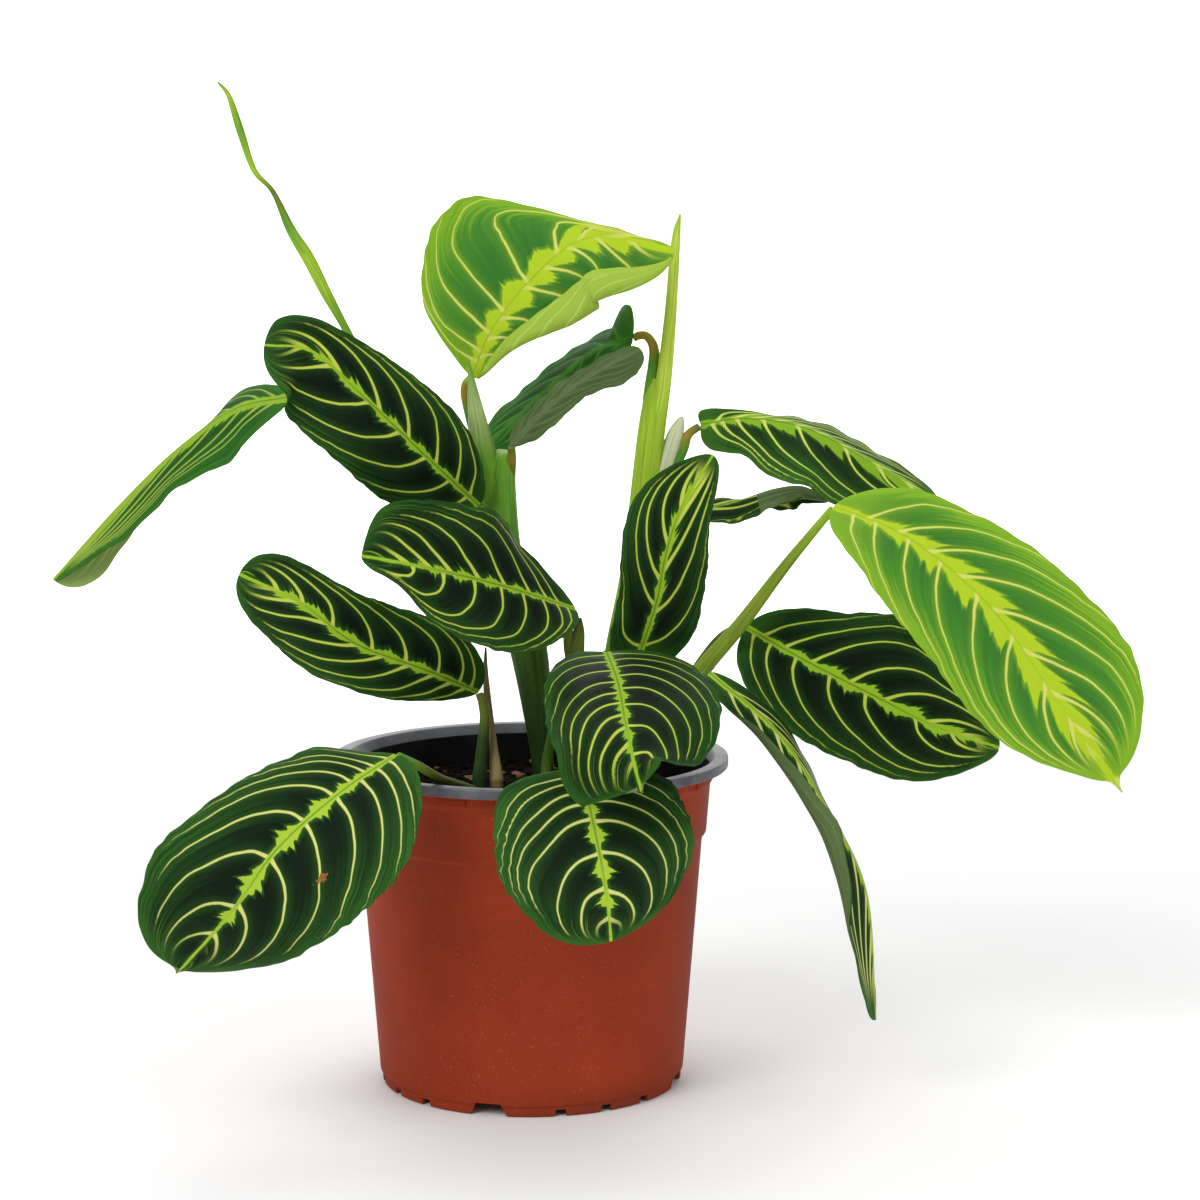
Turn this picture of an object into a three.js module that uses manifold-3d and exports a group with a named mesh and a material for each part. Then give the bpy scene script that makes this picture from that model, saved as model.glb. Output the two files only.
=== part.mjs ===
// A potted prayer plant (maranta): a nursery pot filled with soil, the shoots that stand in it and their
// leaves. Millimetres, +Z up, the front of the plant towards -Y. While it is built, the pot's axis is x = 0,
// y = 0 and its foot is z = 0; at the end the plant is moved so that the middle of its box stands over the
// origin.
import * as THREE from "three";
import { mergeVertices } from "three/addons/utils/BufferGeometryUtils.js";
import Module from "manifold-3d";

const wasm = await Module();
wasm.setup();

// ---------------------------------------------------------------- driving dimensions

const GAP = 0.3; // clear space between pieces that touch

const POT_HEIGHT = 100;
const RIM_RADIUS = 60; // outside of the lip
const RIM_MOUTH = 56; // inside of the lip
const RIM_THICK = 3; // height of the lip
const COLLAR_RADIUS = 55.6; // wall just under the lip
const COLLAR_FOOT = 77; // height at which the collar steps in
const COLLAR_STEP = 1.2;
const BODY_TOP = 52.2; // wall radius under the collar
const BODY_FOOT = 45.8; // wall radius at the foot
const WALL = 1.3;
const FLOOR_LOW = 5; // underside of the floor plate, above the foot ring
const FLOOR_HIGH = 6.6;
const POT_SIDES = 64;

const NOTCH_TURN = 90; // degrees between the wide notches of the foot ring
const WIDE_NOTCH = { at: -15, low: 12, high: 7.6, tall: 3.8 };
const SMALL_NOTCH = { at: [12, 30, 48], low: 3.6, high: 3.2, tall: 2 };
const DRAIN = { radius: 3.5, ring: 35, at: 30, count: 6 };

const SOIL_TOP = 88;
const SOIL_MOUND = 1.6; // rise of the soil towards the shoots
const SOIL_BUMP = 0.7; // its unevenness
const SOIL_RINGS = 7;
const SOIL_SIDES = 32;
const ROOTED = 12; // depth to which a stem stands in the soil
const HOLE_SIDES = 12;

const BLADE = 0.8; // thickness of a leaf blade
const ALONG = 12; // cells of a blade from its base to its tip
const ACROSS = 8; // cells from edge to edge
const SECTION_STEPS = 12; // short steps that walk out across half a blade
const NARROW = 8; // half width under which a blade rolls less, mm
const EAR = 0.15; // share of a blade's length over which an ear or a flap fades out
const EAR_RISE = 2; // how quickly an ear widens from the base, over the rounding of the end
const NOTCH_SPAN = 0.045; // share of a blade's length from the middle of a notch to its shoulder
const STEM_SIDES = 8;

// ---------------------------------------------------------------- leaves
// rib: the midrib from base to tip. Each row holds x, y, z, the way that the upper face looks (degrees round
// from the front, degrees up), and the half widths of the left and right half before the ends round off.
// left and right: fold is the angle at which the half rises from the midrib, curl how much more it turns by
// its edge, and bend the stretch of the half in which it turns. wave is the height of the waved edge, with
// its count and phase. ear is how far the base of the half reaches back past the leaf stalk, and flap how
// far it stands up there. notch is a bay in the edge: where it is along the blade, and how much of the half
// width it takes.

const LEAVES = {
  leaf_top: {
    colour: 0x8fb62c,
    rib: [
      [-18, 14, 214, -15, 5, 12, 12],
      [-11, 8, 229, -15, 15, 35, 18],
      [2, 2, 245, -10, 25, 32, 32],
      [18, -2, 256, -5, 30, 5, 38],
      [43, -4, 252, 0, 30, 5, 34],
    ],
    left: { fold: 8, curl: -10, wave: 1.6, count: 3 },
    right: { fold: -5, curl: 195, bend: [0.54, 0.84] },
  },
  leaf_upper_left: {
    colour: 0x23451f,
    rib: [
      [-16, 10, 175, -26, 25, 16, 11],
      [-30, -4, 190, -17, 24, 19, 16],
      [-48, -16, 209, -8, 22, 20, 14],
      [-63, -22, 223, -11, 18, 23, 12],
      [-77, -22, 225, -13, 12, 25, 19],
    ],
    left: { fold: 10, curl: -10, wave: 1.2, count: 2.5 },
    right: { fold: 10, curl: -10, wave: 1.2, count: 2.5 },
  },
  leaf_left_front: {
    colour: 0x1f3d1c,
    rib: [
      [13.5, -2, 144.5, -9, 44, 15, 11],
      [-5, -20, 153, -3, 30, 21, 21],
      [-22, -32, 159, 2, 15, 17, 21],
      [-37, -38, 163, -1, 6, 8, 24],
      [-48, -38, 165, -4, -4, 7, 34],
    ],
    left: { fold: 8, curl: -12, wave: 1.2, count: 2.5 },
    right: { fold: 8, curl: -12, wave: 1.2, count: 2.5 },
  },
  leaf_left_middle: {
    colour: 0x23451f,
    rib: [
      [-16, 1, 119, -27, 7, 6, 18],
      [-32, -10, 127.5, -19, 22, 11, 17],
      [-52, -15, 136, -10, 36, 15, 15],
      [-68, -14, 148, -9, 25, 16, 12],
      [-87, -8, 156, -9, 11, 16, 18],
    ],
    left: { fold: 8, curl: -10, wave: 1.2, count: 2.5 },
    right: { fold: 8, curl: -10, wave: 1.2, count: 2.5 },
  },
  leaf_low_left: {
    colour: 0x274d22,
    rib: [
      [-37, -58, 110, -42, 19, 25, 27],
      [-52, -74, 102, -16, 18, 30, 20],
      [-68, -86, 89, 8, 15, 29, 22],
      [-80, -92, 73, 26, -3, 28, 31],
      [-95, -90, 56, 44, -18, 31, 38],
    ],
    left: { fold: 6, curl: -15, wave: 1.2, count: 2.5 },
    right: { fold: 6, curl: -15, wave: 1.2, count: 2.5 },
  },
  leaf_low_front: {
    colour: 0x274d22,
    rib: [
      [16, -56, 106, 4, 63, 37, 35],
      [18, -69, 98, 4, 37, 28, 29],
      [21, -77, 85, 4, 20, 27, 29],
      [23, -80, 73, 18, 13, 25, 27],
      [24, -79, 61, 33, 4, 26, 28],
    ],
    left: { fold: 4, curl: -14, wave: 1.2, count: 2.5 },
    right: { fold: 4, curl: -14, wave: 1.2, count: 2.5 },
  },
  leaf_centre: {
    colour: 0x274d22,
    rib: [
      [23, -20, 134, -7, 84, 24, 18.5],
      [26, -50, 130, 11, 61, 29.5, 22],
      [28, -75.5, 122.6, 27, 56, 28, 23.5],
      [30, -89, 114.8, 10, -17, 23.5, 27.5],
      [32, -99, 109, 0, -19, 14.5, 39.5],
    ],
    left: { fold: 6, curl: [1, -17, -19, -38, -25], bend: [0.15, 0.8], notch: { at: 0.9, depth: 0.5 } },
    right: { fold: 6, curl: [11, -16, -47, -48, 20], bend: [0.15, 0.8] },
  },
  leaf_upright: {
    colour: 0x23451f,
    rib: [
      [33, 6, 130, 22, 7, 20, 22],
      [38, -2, 147, 20, 4, 13, 16],
      [41, -6, 163, 18, 1, 15, 13],
      [46, -6, 177, 1, 7, 14, 10],
      [55, 0, 191, -15, 12, 8, 8],
    ],
    left: { fold: 8, curl: -10, ear: 7, wave: 1.2, count: 2.5 },
    right: { fold: 8, curl: -10, ear: 7, wave: 1.2, count: 2.5 },
  },
  leaf_upper_right: {
    colour: 0x3f7a26,
    rib: [
      [52, 18, 199, 6, 39, 17, 19],
      [66, 16, 201, 7, 57, 5, 16],
      [84, 14, 198, 11, 73, 13, 23],
      [103, 14, 188, 13, 68, 17, 20],
      [125, 16, 175, 13, 64, 15, 11],
    ],
    left: { fold: -6, curl: -6, ear: 4, wave: 0.6, count: 2.5 },
    right: { fold: -22, curl: -10, ear: 3, wave: 1.2, count: 2.5 },
  },
  leaf_big_right: {
    colour: 0x6aa52e,
    rib: [
      [91, -6, 176, 16, 39, 20, 19],
      [112, -20, 168, 7, 33, 20, 22],
      [135, -32, 149, -2, 23, 22, 24],
      [155, -38, 121, -6, 11, 29, 22],
      [171, -36, 99, -10, -3, 25, 11],
    ],
    left: { fold: 8, curl: -12, wave: 1.2, count: 2.5 },
    right: { fold: 8, curl: -12, wave: 1.2, count: 2.5 },
  },
  leaf_right_back: {
    colour: 0x1f3d1c,
    rib: [
      [66, 17, 136.4, 13, 40, 20, 28],
      [85, 11, 126.4, 8, 33, 22, 25],
      [105, 9, 116.4, 3, 22, 26, 23],
      [124, 13, 106.4, 6, 23, 20, 20],
      [145, 19, 98.4, 9, 23, 12, 11],
    ],
    left: { fold: 8, curl: -10, wave: 1.2, count: 2.5 },
    right: { fold: 8, curl: -10, wave: 1.2, count: 2.5 },
  },
  leaf_hanging_right: {
    colour: 0x2c5224,
    rib: [
      [54, -4, 125.5, 25, 45, 10, 12],
      [74, -14, 109, 50, 30, 14, 14],
      [88, -22, 88, 68, 15, 15, 18],
      [100, -28, 63, 70, 8, 15, 26],
      [103, -30, 25, 70, 0, 8, 12],
    ],
    left: { fold: -14, curl: -10, wave: 0.6, count: 2.5 },
    right: { fold: -12, curl: [20, 110, 100, 40, 10], bend: [0.45, 0.9], wave: 0.6, count: 2.5 },
  },
  leaf_behind_top: {
    colour: 0x2a5526,
    rib: [
      [31, 24, 225, -15, 60, 12, 21],
      [19, 28, 221, -15, 64, 13, 16],
      [7, 31, 211, -15, 64, 13, 14],
      [-4, 33, 201, -15, 62, 12, 15],
      [-16, 34, 190, -15, 58, 9, 12],
    ],
    left: { fold: -14, curl: -10, wave: 0.6, count: 2.5 },
    right: { fold: -2, curl: -10, ear: 7, flap: 95, wave: 0.6, count: 2.5 },
  },
  leaf_small_back: {
    colour: 0x1f3d1c,
    rib: [
      [50, 32, 171, -10, 45, 4, 8],
      [63, 31, 174, -10, 50, 6, 9],
      [75, 30, 178, -8, 56, 8, 8],
      [84, 28, 179, -5, 60, 7, 7],
      [92, 26, 175, 0, 60, 5, 5],
    ],
    left: { fold: [0, -20, -80, -110, -110], curl: -10, wave: 0.3, count: 2.5 },
    right: { fold: 4, curl: -10, wave: 0.3, count: 2.5 },
  },
  leaf_far_left: {
    colour: 0x5d8f2a,
    rib: [
      [-73, 8, 208, -30, 50, 12, 12],
      [-90, 14, 204, -30, 52, 19, 15],
      [-108, 18, 192, -30, 58, 15, 10],
      [-127, 20, 174, -25, 62, 12, 8],
      [-148, 20, 151, -20, 62, 8, 20],
    ],
    left: { fold: -12, curl: -10, wave: 0.8, count: 2.5 },
    right: { fold: [0, -10, -60, -100, -115], curl: -10, wave: 0.5, count: 2.5 },
  },
  leaf_under_back: {
    colour: 0x6f7d62,
    rib: [
      [-6, 14, 193, 172, 50, 7, 5],
      [4, 8, 204, 173, 56, 7, 5],
      [15, 4, 213, 175, 60, 8, 5],
      [25, 0, 219, 178, 60, 14, 6],
      [33, -2, 223, 180, 58, 17, 7],
    ],
    left: { fold: 4, curl: -10, wave: 0.5, count: 2.5 },
    right: { fold: 4, curl: -10, wave: 0.5, count: 2.5 },
  },
};

// ---------------------------------------------------------------- stems
// foot: the x, y and radius with which a shoot stands in the soil. Each branch is a row of x, y, z and
// radius: the first one rises from the foot, and a branch that carries a leaf ends at the base of its blade.

const TOP_RADIUS = 1.2; // radius of a leaf stalk where it meets its blade
const STALK_END = 0.75; // distance from the end of a leaf stalk to the midrib's first point
const UPRIGHT = 2.5; // height above the soil up to which a shoot stands upright

const SHOOTS = {
  shoot_left: {
    colour: 0x6f9a2f,
    foot: [3.2, 20, 3.4],
    branches: [
      {
        rows: [
          [2.2, 20, 103, 3.9],
          [-1.1, 20, 129, 5.8],
          [-8.4, 20, 157, 5.7],
          [-10, 20, 178, 5.2],
          [-9, 20, 188.5, 4.1],
          [-8.8, 20, 191.2, 1.6],
        ],
      },
      {
        rows: [
          [-10.8, 20, 174, 4.6],
          [-14.6, 18.5, 190, 3.9],
          [-17, 13, 205, 2.3],
          [-18.6, 8.5, 218.5, 0.3],
        ],
      },
      {
        rows: [
          [-14.6, 18.5, 190, 3],
          [-18.6, 17, 203, 2],
          [-20.2, 16, 208.5, 1.4],
          [-19.9, 15.3, 211.5, 1.3],
        ],
        leaf: "leaf_top",
      },
      { rows: [[-9, 20, 176, 2], [-6.6, 18.5, 184.5, 1.6], [-6, 16.5, 188.5, 1.4]], leaf: "leaf_under_back" },
      { rows: [[-10, 20, 164, 1.8], [-13, 15, 171, 1.5]], leaf: "leaf_upper_left" },
      {
        rows: [
          [-8, 20, 160, 1.6],
          [-20, 18.5, 170, 1.5],
          [-31, 18, 179, 1.4],
          [-48, 15, 193, 1.3],
          [-64, 10, 204, 1.2],
        ],
        leaf: "leaf_far_left",
      },
      {
        rows: [
          [-6, 20, 150, 1.5],
          [-27, 12, 178, 1.4],
          [-42.6, 8, 203.5, 1.3],
          [-55, 6, 227.7, 1.2],
          [-61.5, 5, 240, 1.7],
          [-66.5, 5, 250, 1.9],
          [-71.5, 5, 258.2, 1.5],
          [-76.7, 5, 269.5, 0.8],
          [-82.3, 5, 276, 0.9],
          [-86.3, 5, 287.8, 1.2],
          [-89.5, 5, 297.8, 0.8],
          [-92.7, 5, 301.9, 0.3],
        ],
      },
    ],
  },
  shoot_tall: {
    colour: 0x9cc234,
    foot: [21.5, 20, 4.3],
    branches: [
      {
        rows: [
          [23, 20, 100, 4.4],
          [27, 20, 128, 4.6],
          [32.4, 19, 157, 4.6],
          [36.6, 18, 200, 3.6],
          [38.4, 18.3, 213, 1.6],
        ],
      },
      {
        rows: [
          [36.6, 17.8, 184, 3],
          [38.4, 17.5, 200, 2.9],
          [40.5, 17, 213, 2.4],
          [42.4, 17, 232, 1.9],
          [44, 17, 255, 1.4],
          [45.3, 17, 263, 0.3],
        ],
      },
      {
        rows: [
          [35.2, 18.5, 186, 2.6],
          [36.2, 19, 206, 2.2],
          [37.4, 19.5, 217, 1.8],
          [37.4, 20.5, 222.5, 1.5],
          [35.4, 22, 225.8, 1.3],
          [33, 23, 226, 1.3],
        ],
        leaf: "leaf_behind_top",
      },
      {
        rows: [
          [35.5, 18.5, 172, 2.4],
          [41, 18.8, 182, 2.4],
          [45.8, 19, 191, 2.1],
          [48, 18.8, 195.8, 1.4],
        ],
        leaf: "leaf_upper_right",
      },
      {
        rows: [
          [36.5, 18.2, 174, 2.4],
          [40.6, 18.5, 185, 2.8],
          [43.7, 19, 194.7, 2.6],
          [45.4, 19.2, 199.3, 1.6],
          [46.2, 19.2, 201.4, 0.5],
        ],
      },
      { rows: [[25.5, 20, 114, 2], [28, 15.5, 119.5, 1.6], [31, 10, 125, 1.4]], leaf: "leaf_upright" },
      { rows: [[31.5, 19.5, 155, 1.8], [36, 24, 160, 1.5], [43, 29.5, 167, 1.3]], leaf: "leaf_small_back" },
    ],
  },
  shoot_right: {
    colour: 0x6f9a2f,
    foot: [30.5, 11.5, 2.9],
    branches: [
      {
        rows: [
          [34, 12, 99, 2.9],
          [51.7, 10, 123.6, 2.7],
          [63.7, 6, 138.7, 2.3],
          [77, 1, 157.4, 1.7],
        ],
        leaf: "leaf_big_right",
      },
      {
        rows: [
          [46, 12, 115, 2.2],
          [50.8, 14, 123.5, 1.9],
          [57, 15.8, 132, 1.6],
          [61.5, 16.8, 135.6, 1.3],
        ],
        leaf: "leaf_right_back",
      },
      { rows: [[45.5, 11, 115, 2], [50, 3, 121.5, 1.6]], leaf: "leaf_hanging_right" },
    ],
  },
  shoot_middle: {
    colour: 0x55802a,
    foot: [12.9, 4, 3],
    branches: [
      { rows: [[12.8, 3, 116, 3], [13.5, 1, 131, 2.8], [14.6, 0, 137.5, 1.8], [15, 0, 141.7, 0.5]] },
      {
        rows: [
          [13, 1.5, 126, 2],
          [11.6, 0.5, 133, 1.7],
          [11.4, -0.5, 139, 1.4],
          [12, -1.2, 142, 1.3],
        ],
        leaf: "leaf_left_front",
      },
    ],
  },
  stalk_left_middle: {
    colour: 0x3f6a2a,
    foot: [-15.6, -3, 2.2],
    branches: [
      {
        rows: [
          [-15.2, -3, 98, 1.9],
          [-14.4, -2.8, 105, 1.7],
          [-14, -1.6, 111.5, 1.5],
          [-14.7, -0.2, 116, 1.4],
        ],
        leaf: "leaf_left_middle",
      },
    ],
  },
  stalk_low_left: {
    colour: 0x6f7a35,
    foot: [-16.5, -25, 1.5],
    branches: [
      {
        rows: [
          [-19, -30, 95.5, 1.4],
          [-25, -44, 100.5, 1.3],
          [-31, -53, 106, 1.3],
        ],
        leaf: "leaf_low_left",
      },
    ],
  },
  stalk_low_front: {
    colour: 0x3f6a2a,
    foot: [13, -25, 1.5],
    branches: [
      {
        rows: [
          [13.8, -31, 98, 1.4],
          [15.3, -46, 106.5, 1.3],
          [15.8, -53, 107, 1.3],
        ],
        leaf: "leaf_low_front",
      },
    ],
  },
  stalk_centre: {
    colour: 0x55802a,
    foot: [4.4, 3, 1.5],
    branches: [
      {
        rows: [
          [5, 2, 99, 1.5],
          [8, -3, 111, 1.4],
          [15, -10, 124, 1.3],
          [21.5, -16, 131, 1.3],
        ],
        leaf: "leaf_centre",
      },
    ],
  },
  dry_stem: {
    colour: 0xb79a72,
    foot: [-10.6, 0, 2.1],
    branches: [
      {
        rows: [
          [-11.6, 2, 103, 1.2],
          [-13.2, 6, 114, 1.2],
          [-14.1, 10, 124, 0.8],
          [-14.1, 12, 131, 0.3],
        ],
      },
    ],
  },
};

// ---------------------------------------------------------------- helpers

const radians = THREE.MathUtils.degToRad;
const clamp = THREE.MathUtils.clamp;

// All columns of a list of rows at t = 0..1, on one smooth curve through the rows.
function rowAt(rows, t) {
  const last = rows.length - 1;
  const place = clamp(t, 0, 1) * last;
  const i = Math.min(Math.floor(place), last - 1);
  const w = place - i;
  const before = (k) => (i > 0 ? rows[i - 1][k] : 2 * rows[0][k] - rows[1][k]);
  const after = (k) => (i + 2 <= last ? rows[i + 2][k] : 2 * rows[last][k] - rows[last - 1][k]);
  return rows[i].map((a, k) => {
    const b = rows[i + 1][k];
    const slopeA = (b - before(k)) / 2;
    const slopeB = (after(k) - a) / 2;
    const cubic = 2 * a - 2 * b + slopeA + slopeB;
    const square = 3 * b - 3 * a - 2 * slopeA - slopeB;
    return ((cubic * w + square) * w + slopeA) * w + a;
  });
}

// A number, or a list of numbers spread evenly from u = 0 to u = 1.
function valueAt(value, u) {
  if (!Array.isArray(value)) return value ?? 0;
  const place = clamp(u, 0, 1) * (value.length - 1);
  const i = Math.min(Math.floor(place), value.length - 2);
  return value[i] + (value[i + 1] - value[i]) * (place - i);
}

const pointOf = (row) => new THREE.Vector3(row[0], row[1], row[2]);

function closedGeometry(points, triangles) {
  const positions = points.flatMap((p) => [p.x, p.y, p.z]);
  const geometry = new THREE.BufferGeometry();
  geometry.setAttribute("position", new THREE.Float32BufferAttribute(positions, 3));
  geometry.setIndex(triangles);
  return geometry;
}

function solidFrom(geometry) {
  const bare = geometry.clone();
  bare.deleteAttribute("normal");
  bare.deleteAttribute("uv");
  const merged = mergeVertices(bare, 1e-4);
  return new wasm.Manifold(
    new wasm.Mesh({
      numProp: 3,
      vertProperties: merged.attributes.position.array,
      triVerts: new Uint32Array(merged.index.array),
    }),
  );
}

function geometryFrom(solid) {
  const mesh = solid.getMesh();
  const geometry = new THREE.BufferGeometry();
  geometry.setAttribute("position", new THREE.BufferAttribute(mesh.vertProperties, 3));
  geometry.setIndex(new THREE.BufferAttribute(mesh.triVerts, 1));
  return geometry;
}

function mesh(name, geometry, colour, roughness) {
  geometry.computeVertexNormals();
  const material = new THREE.MeshStandardMaterial({ color: colour, roughness, flatShading: true });
  const piece = new THREE.Mesh(geometry, material);
  piece.name = name;
  return piece;
}

// ---------------------------------------------------------------- leaf blades

// How far a blade has widened at u, from 0 at its base through 1 in the middle to 0 at its tip.
const roundedEnds = (u) => Math.sqrt(Math.max(0, 1 - Math.abs(2 * u - 1) ** 2.6));

// Where a fraction of the midrib's length lies on the curve through its rows.
function evenSteps(rows) {
  const count = 400;
  const lengths = [0];
  let last = pointOf(rowAt(rows, 0));
  for (let i = 1; i <= count; i++) {
    const next = pointOf(rowAt(rows, i / count));
    lengths.push(lengths[i - 1] + next.distanceTo(last));
    last = next;
  }
  return (u) => {
    const goal = u * lengths[count];
    const i = clamp(lengths.findIndex((length) => length >= goal), 1, count);
    return (i - 1 + (goal - lengths[i - 1]) / (lengths[i] - lengths[i - 1])) / count;
  };
}

// The midrib at u: its place, its direction, the leaf's right-hand side and the way that its face looks.
function ribFrame(leaf, u) {
  leaf.step ??= evenSteps(leaf.rib);
  const t = leaf.step(u);
  const row = rowAt(leaf.rib, t);
  const along = pointOf(rowAt(leaf.rib, t + 1e-3)).sub(pointOf(rowAt(leaf.rib, t - 1e-3))).normalize();
  const round = radians(row[3]);
  const up = radians(row[4]);
  const level = Math.cos(up);
  const face = new THREE.Vector3(Math.sin(round) * level, -Math.cos(round) * level, Math.sin(up));
  face.addScaledVector(along, -face.dot(along)).normalize();
  const side = new THREE.Vector3().crossVectors(along, face);
  return { point: pointOf(row), along, side, face, widths: [row[5], row[6]] };
}

// A point of the blade's middle surface and its normal there: u from base to tip, v from -1 (left edge) to 1.
function bladePoint(leaf, frame, u, v) {
  const half = v > 0 ? leaf.right : leaf.left;
  const ends = roundedEnds(u);
  const bay = half.notch ? half.notch.depth * Math.exp(-(((u - half.notch.at) / NOTCH_SPAN) ** 2)) : 0;
  const width = Math.max(0.5, frame.widths[v > 0 ? 1 : 0] * ends * (1 - bay));
  const reach = Math.abs(v);
  const atBase = Math.max(0, 1 - u / EAR);
  const fold = radians(valueAt(half.fold, u) + (half.flap ?? 0) * atBase);
  const curl = radians(valueAt(half.curl, u)) * Math.min(1, width / NARROW);
  const [bendFrom, bendTo] = half.bend ?? [0, 1];
  const angleAt = (t) => fold + curl * clamp((t - bendFrom) / (bendTo - bendFrom), 0, 1);
  let out = 0;
  let rise = 0;
  for (let i = 0; i < SECTION_STEPS; i++) {
    const angle = angleAt((reach * (i + 0.5)) / SECTION_STEPS);
    out += (Math.cos(angle) * reach * width) / SECTION_STEPS;
    rise += (Math.sin(angle) * reach * width) / SECTION_STEPS;
  }
  const turns = (half.count ?? 0) * u + (half.phase ?? 0);
  rise += (half.wave ?? 0) * reach * reach * Math.sin(2 * Math.PI * turns) * Math.min(1, 1.2 * ends);
  const point = frame.point.clone();
  point.addScaledVector(frame.side, out * Math.sign(v)).addScaledVector(frame.face, rise);
  const ear = (half.ear ?? 0) * reach * reach * atBase * Math.min(1, EAR_RISE * ends);
  point.addScaledVector(frame.along, -ear);
  const last = angleAt(reach);
  const normal = frame.face.clone().multiplyScalar(Math.cos(last));
  normal.addScaledVector(frame.side, -Math.sin(last) * Math.sign(v));
  return { point, normal };
}

// A blade of even thickness. Both faces are split into the same triangles.
function bladeGeometry(leaf) {
  const upper = [];
  const lower = [];
  for (let i = 0; i <= ALONG; i++) {
    const u = (1 - Math.cos((Math.PI * i) / ALONG)) / 2;
    const frame = ribFrame(leaf, u);
    for (let j = 0; j <= ACROSS; j++) {
      const { point, normal } = bladePoint(leaf, frame, u, (2 * j) / ACROSS - 1);
      upper.push(point.clone().addScaledVector(normal, BLADE / 2));
      lower.push(point.clone().addScaledVector(normal, -BLADE / 2));
    }
  }
  const row = ACROSS + 1;
  const under = upper.length;
  const triangles = [];
  for (let i = 0; i < ALONG; i++) {
    for (let j = 0; j < ACROSS; j++) {
      const a = i * row + j;
      const b = a + 1;
      const c = a + row + 1;
      const d = a + row;
      triangles.push(a, b, c, a, c, d);
      triangles.push(under + a, under + c, under + b, under + a, under + d, under + c);
    }
  }
  const rim = [];
  for (let j = 0; j < ACROSS; j++) rim.push(j);
  for (let i = 0; i < ALONG; i++) rim.push(i * row + ACROSS);
  for (let j = ACROSS; j > 0; j--) rim.push(ALONG * row + j);
  for (let i = ALONG; i > 0; i--) rim.push(i * row);
  rim.forEach((a, k) => {
    const b = rim[(k + 1) % rim.length];
    triangles.push(a, under + b, b, a, under + a, under + b);
  });
  return closedGeometry([...upper, ...lower], triangles);
}

// ---------------------------------------------------------------- stems

// A tapering rod through rows of x, y, z and radius, closed at both ends.
function rodGeometry(rows) {
  const steps = 2 * (rows.length - 1);
  const points = [];
  const triangles = [];
  for (let i = 0; i <= steps; i++) {
    const t = i / steps;
    const row = rowAt(rows, t);
    const along = pointOf(rowAt(rows, t + 1e-3)).sub(pointOf(rowAt(rows, t - 1e-3))).normalize();
    const right = new THREE.Vector3(0, 1, 0).cross(along).normalize();
    const back = new THREE.Vector3().crossVectors(along, right);
    const radius = Math.max(0.25, row[3]);
    for (let k = 0; k < STEM_SIDES; k++) {
      const angle = (2 * Math.PI * k) / STEM_SIDES;
      const point = pointOf(row).addScaledVector(right, radius * Math.cos(angle));
      points.push(point.addScaledVector(back, radius * Math.sin(angle)));
    }
  }
  for (let i = 0; i < steps; i++) {
    for (let k = 0; k < STEM_SIDES; k++) {
      const a = i * STEM_SIDES + k;
      const b = i * STEM_SIDES + ((k + 1) % STEM_SIDES);
      triangles.push(a, b, b + STEM_SIDES, a, b + STEM_SIDES, a + STEM_SIDES);
    }
  }
  const top = steps * STEM_SIDES;
  for (let k = 1; k < STEM_SIDES - 1; k++) {
    triangles.push(0, k + 1, k);
    triangles.push(top, top + k, top + k + 1);
  }
  return closedGeometry(points, triangles);
}

// The rows of a branch: one that rises from a foot starts upright in the soil, and a leaf stalk ends at its
// leaf.
function branchRows(branch, foot) {
  const rows = [...branch.rows];
  if (foot) {
    const [x, y, radius] = foot;
    for (const height of [2 * UPRIGHT, UPRIGHT, -ROOTED]) rows.unshift([x, y, SOIL_TOP + height, radius]);
  }
  if (branch.leaf) {
    const base = pointOf(LEAVES[branch.leaf].rib[0]);
    const back = pointOf(rows[rows.length - 1]).sub(base).setLength(STALK_END);
    base.add(back);
    rows.push([base.x, base.y, base.z, TOP_RADIUS]);
  }
  return rows;
}

function shootGeometry(shoot) {
  const rods = shoot.branches.map((branch, i) => {
    return rodGeometry(branchRows(branch, i === 0 ? shoot.foot : null));
  });
  return geometryFrom(rods.map(solidFrom).reduce((whole, rod) => whole.add(rod)));
}

// ---------------------------------------------------------------- pot and soil

const upright = (geometry) => geometry.rotateX(Math.PI / 2);

const innerRadius = (z) => BODY_FOOT + ((BODY_TOP - BODY_FOOT) * z) / COLLAR_FOOT - WALL;

function potProfile() {
  const lipLow = POT_HEIGHT - RIM_THICK;
  const edge = 0.6; // rounding of the lip
  return [
    [0, FLOOR_LOW],
    [innerRadius(FLOOR_LOW) - 0.3, FLOOR_LOW],
    [innerRadius(0), 0],
    [BODY_FOOT, 0],
    [BODY_TOP, COLLAR_FOOT - COLLAR_STEP],
    [BODY_TOP + COLLAR_STEP, COLLAR_FOOT],
    [COLLAR_RADIUS - 1, lipLow - 5],
    [COLLAR_RADIUS, lipLow - 3],
    [COLLAR_RADIUS + 0.4, lipLow],
    [RIM_RADIUS - edge, lipLow],
    [RIM_RADIUS, lipLow + edge],
    [RIM_RADIUS, POT_HEIGHT - edge],
    [RIM_RADIUS - edge, POT_HEIGHT],
    [RIM_MOUTH + edge, POT_HEIGHT],
    [RIM_MOUTH, POT_HEIGHT - edge],
    [COLLAR_RADIUS - WALL, lipLow],
    [BODY_TOP + COLLAR_STEP - WALL, COLLAR_FOOT + 2],
    [innerRadius(COLLAR_FOOT - 2), COLLAR_FOOT - 2],
    [innerRadius(FLOOR_HIGH + 1), FLOOR_HIGH + 1],
    [innerRadius(FLOOR_HIGH) - 1, FLOOR_HIGH],
    [0, FLOOR_HIGH],
  ].map(([r, z]) => new THREE.Vector2(r, z));
}

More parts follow.
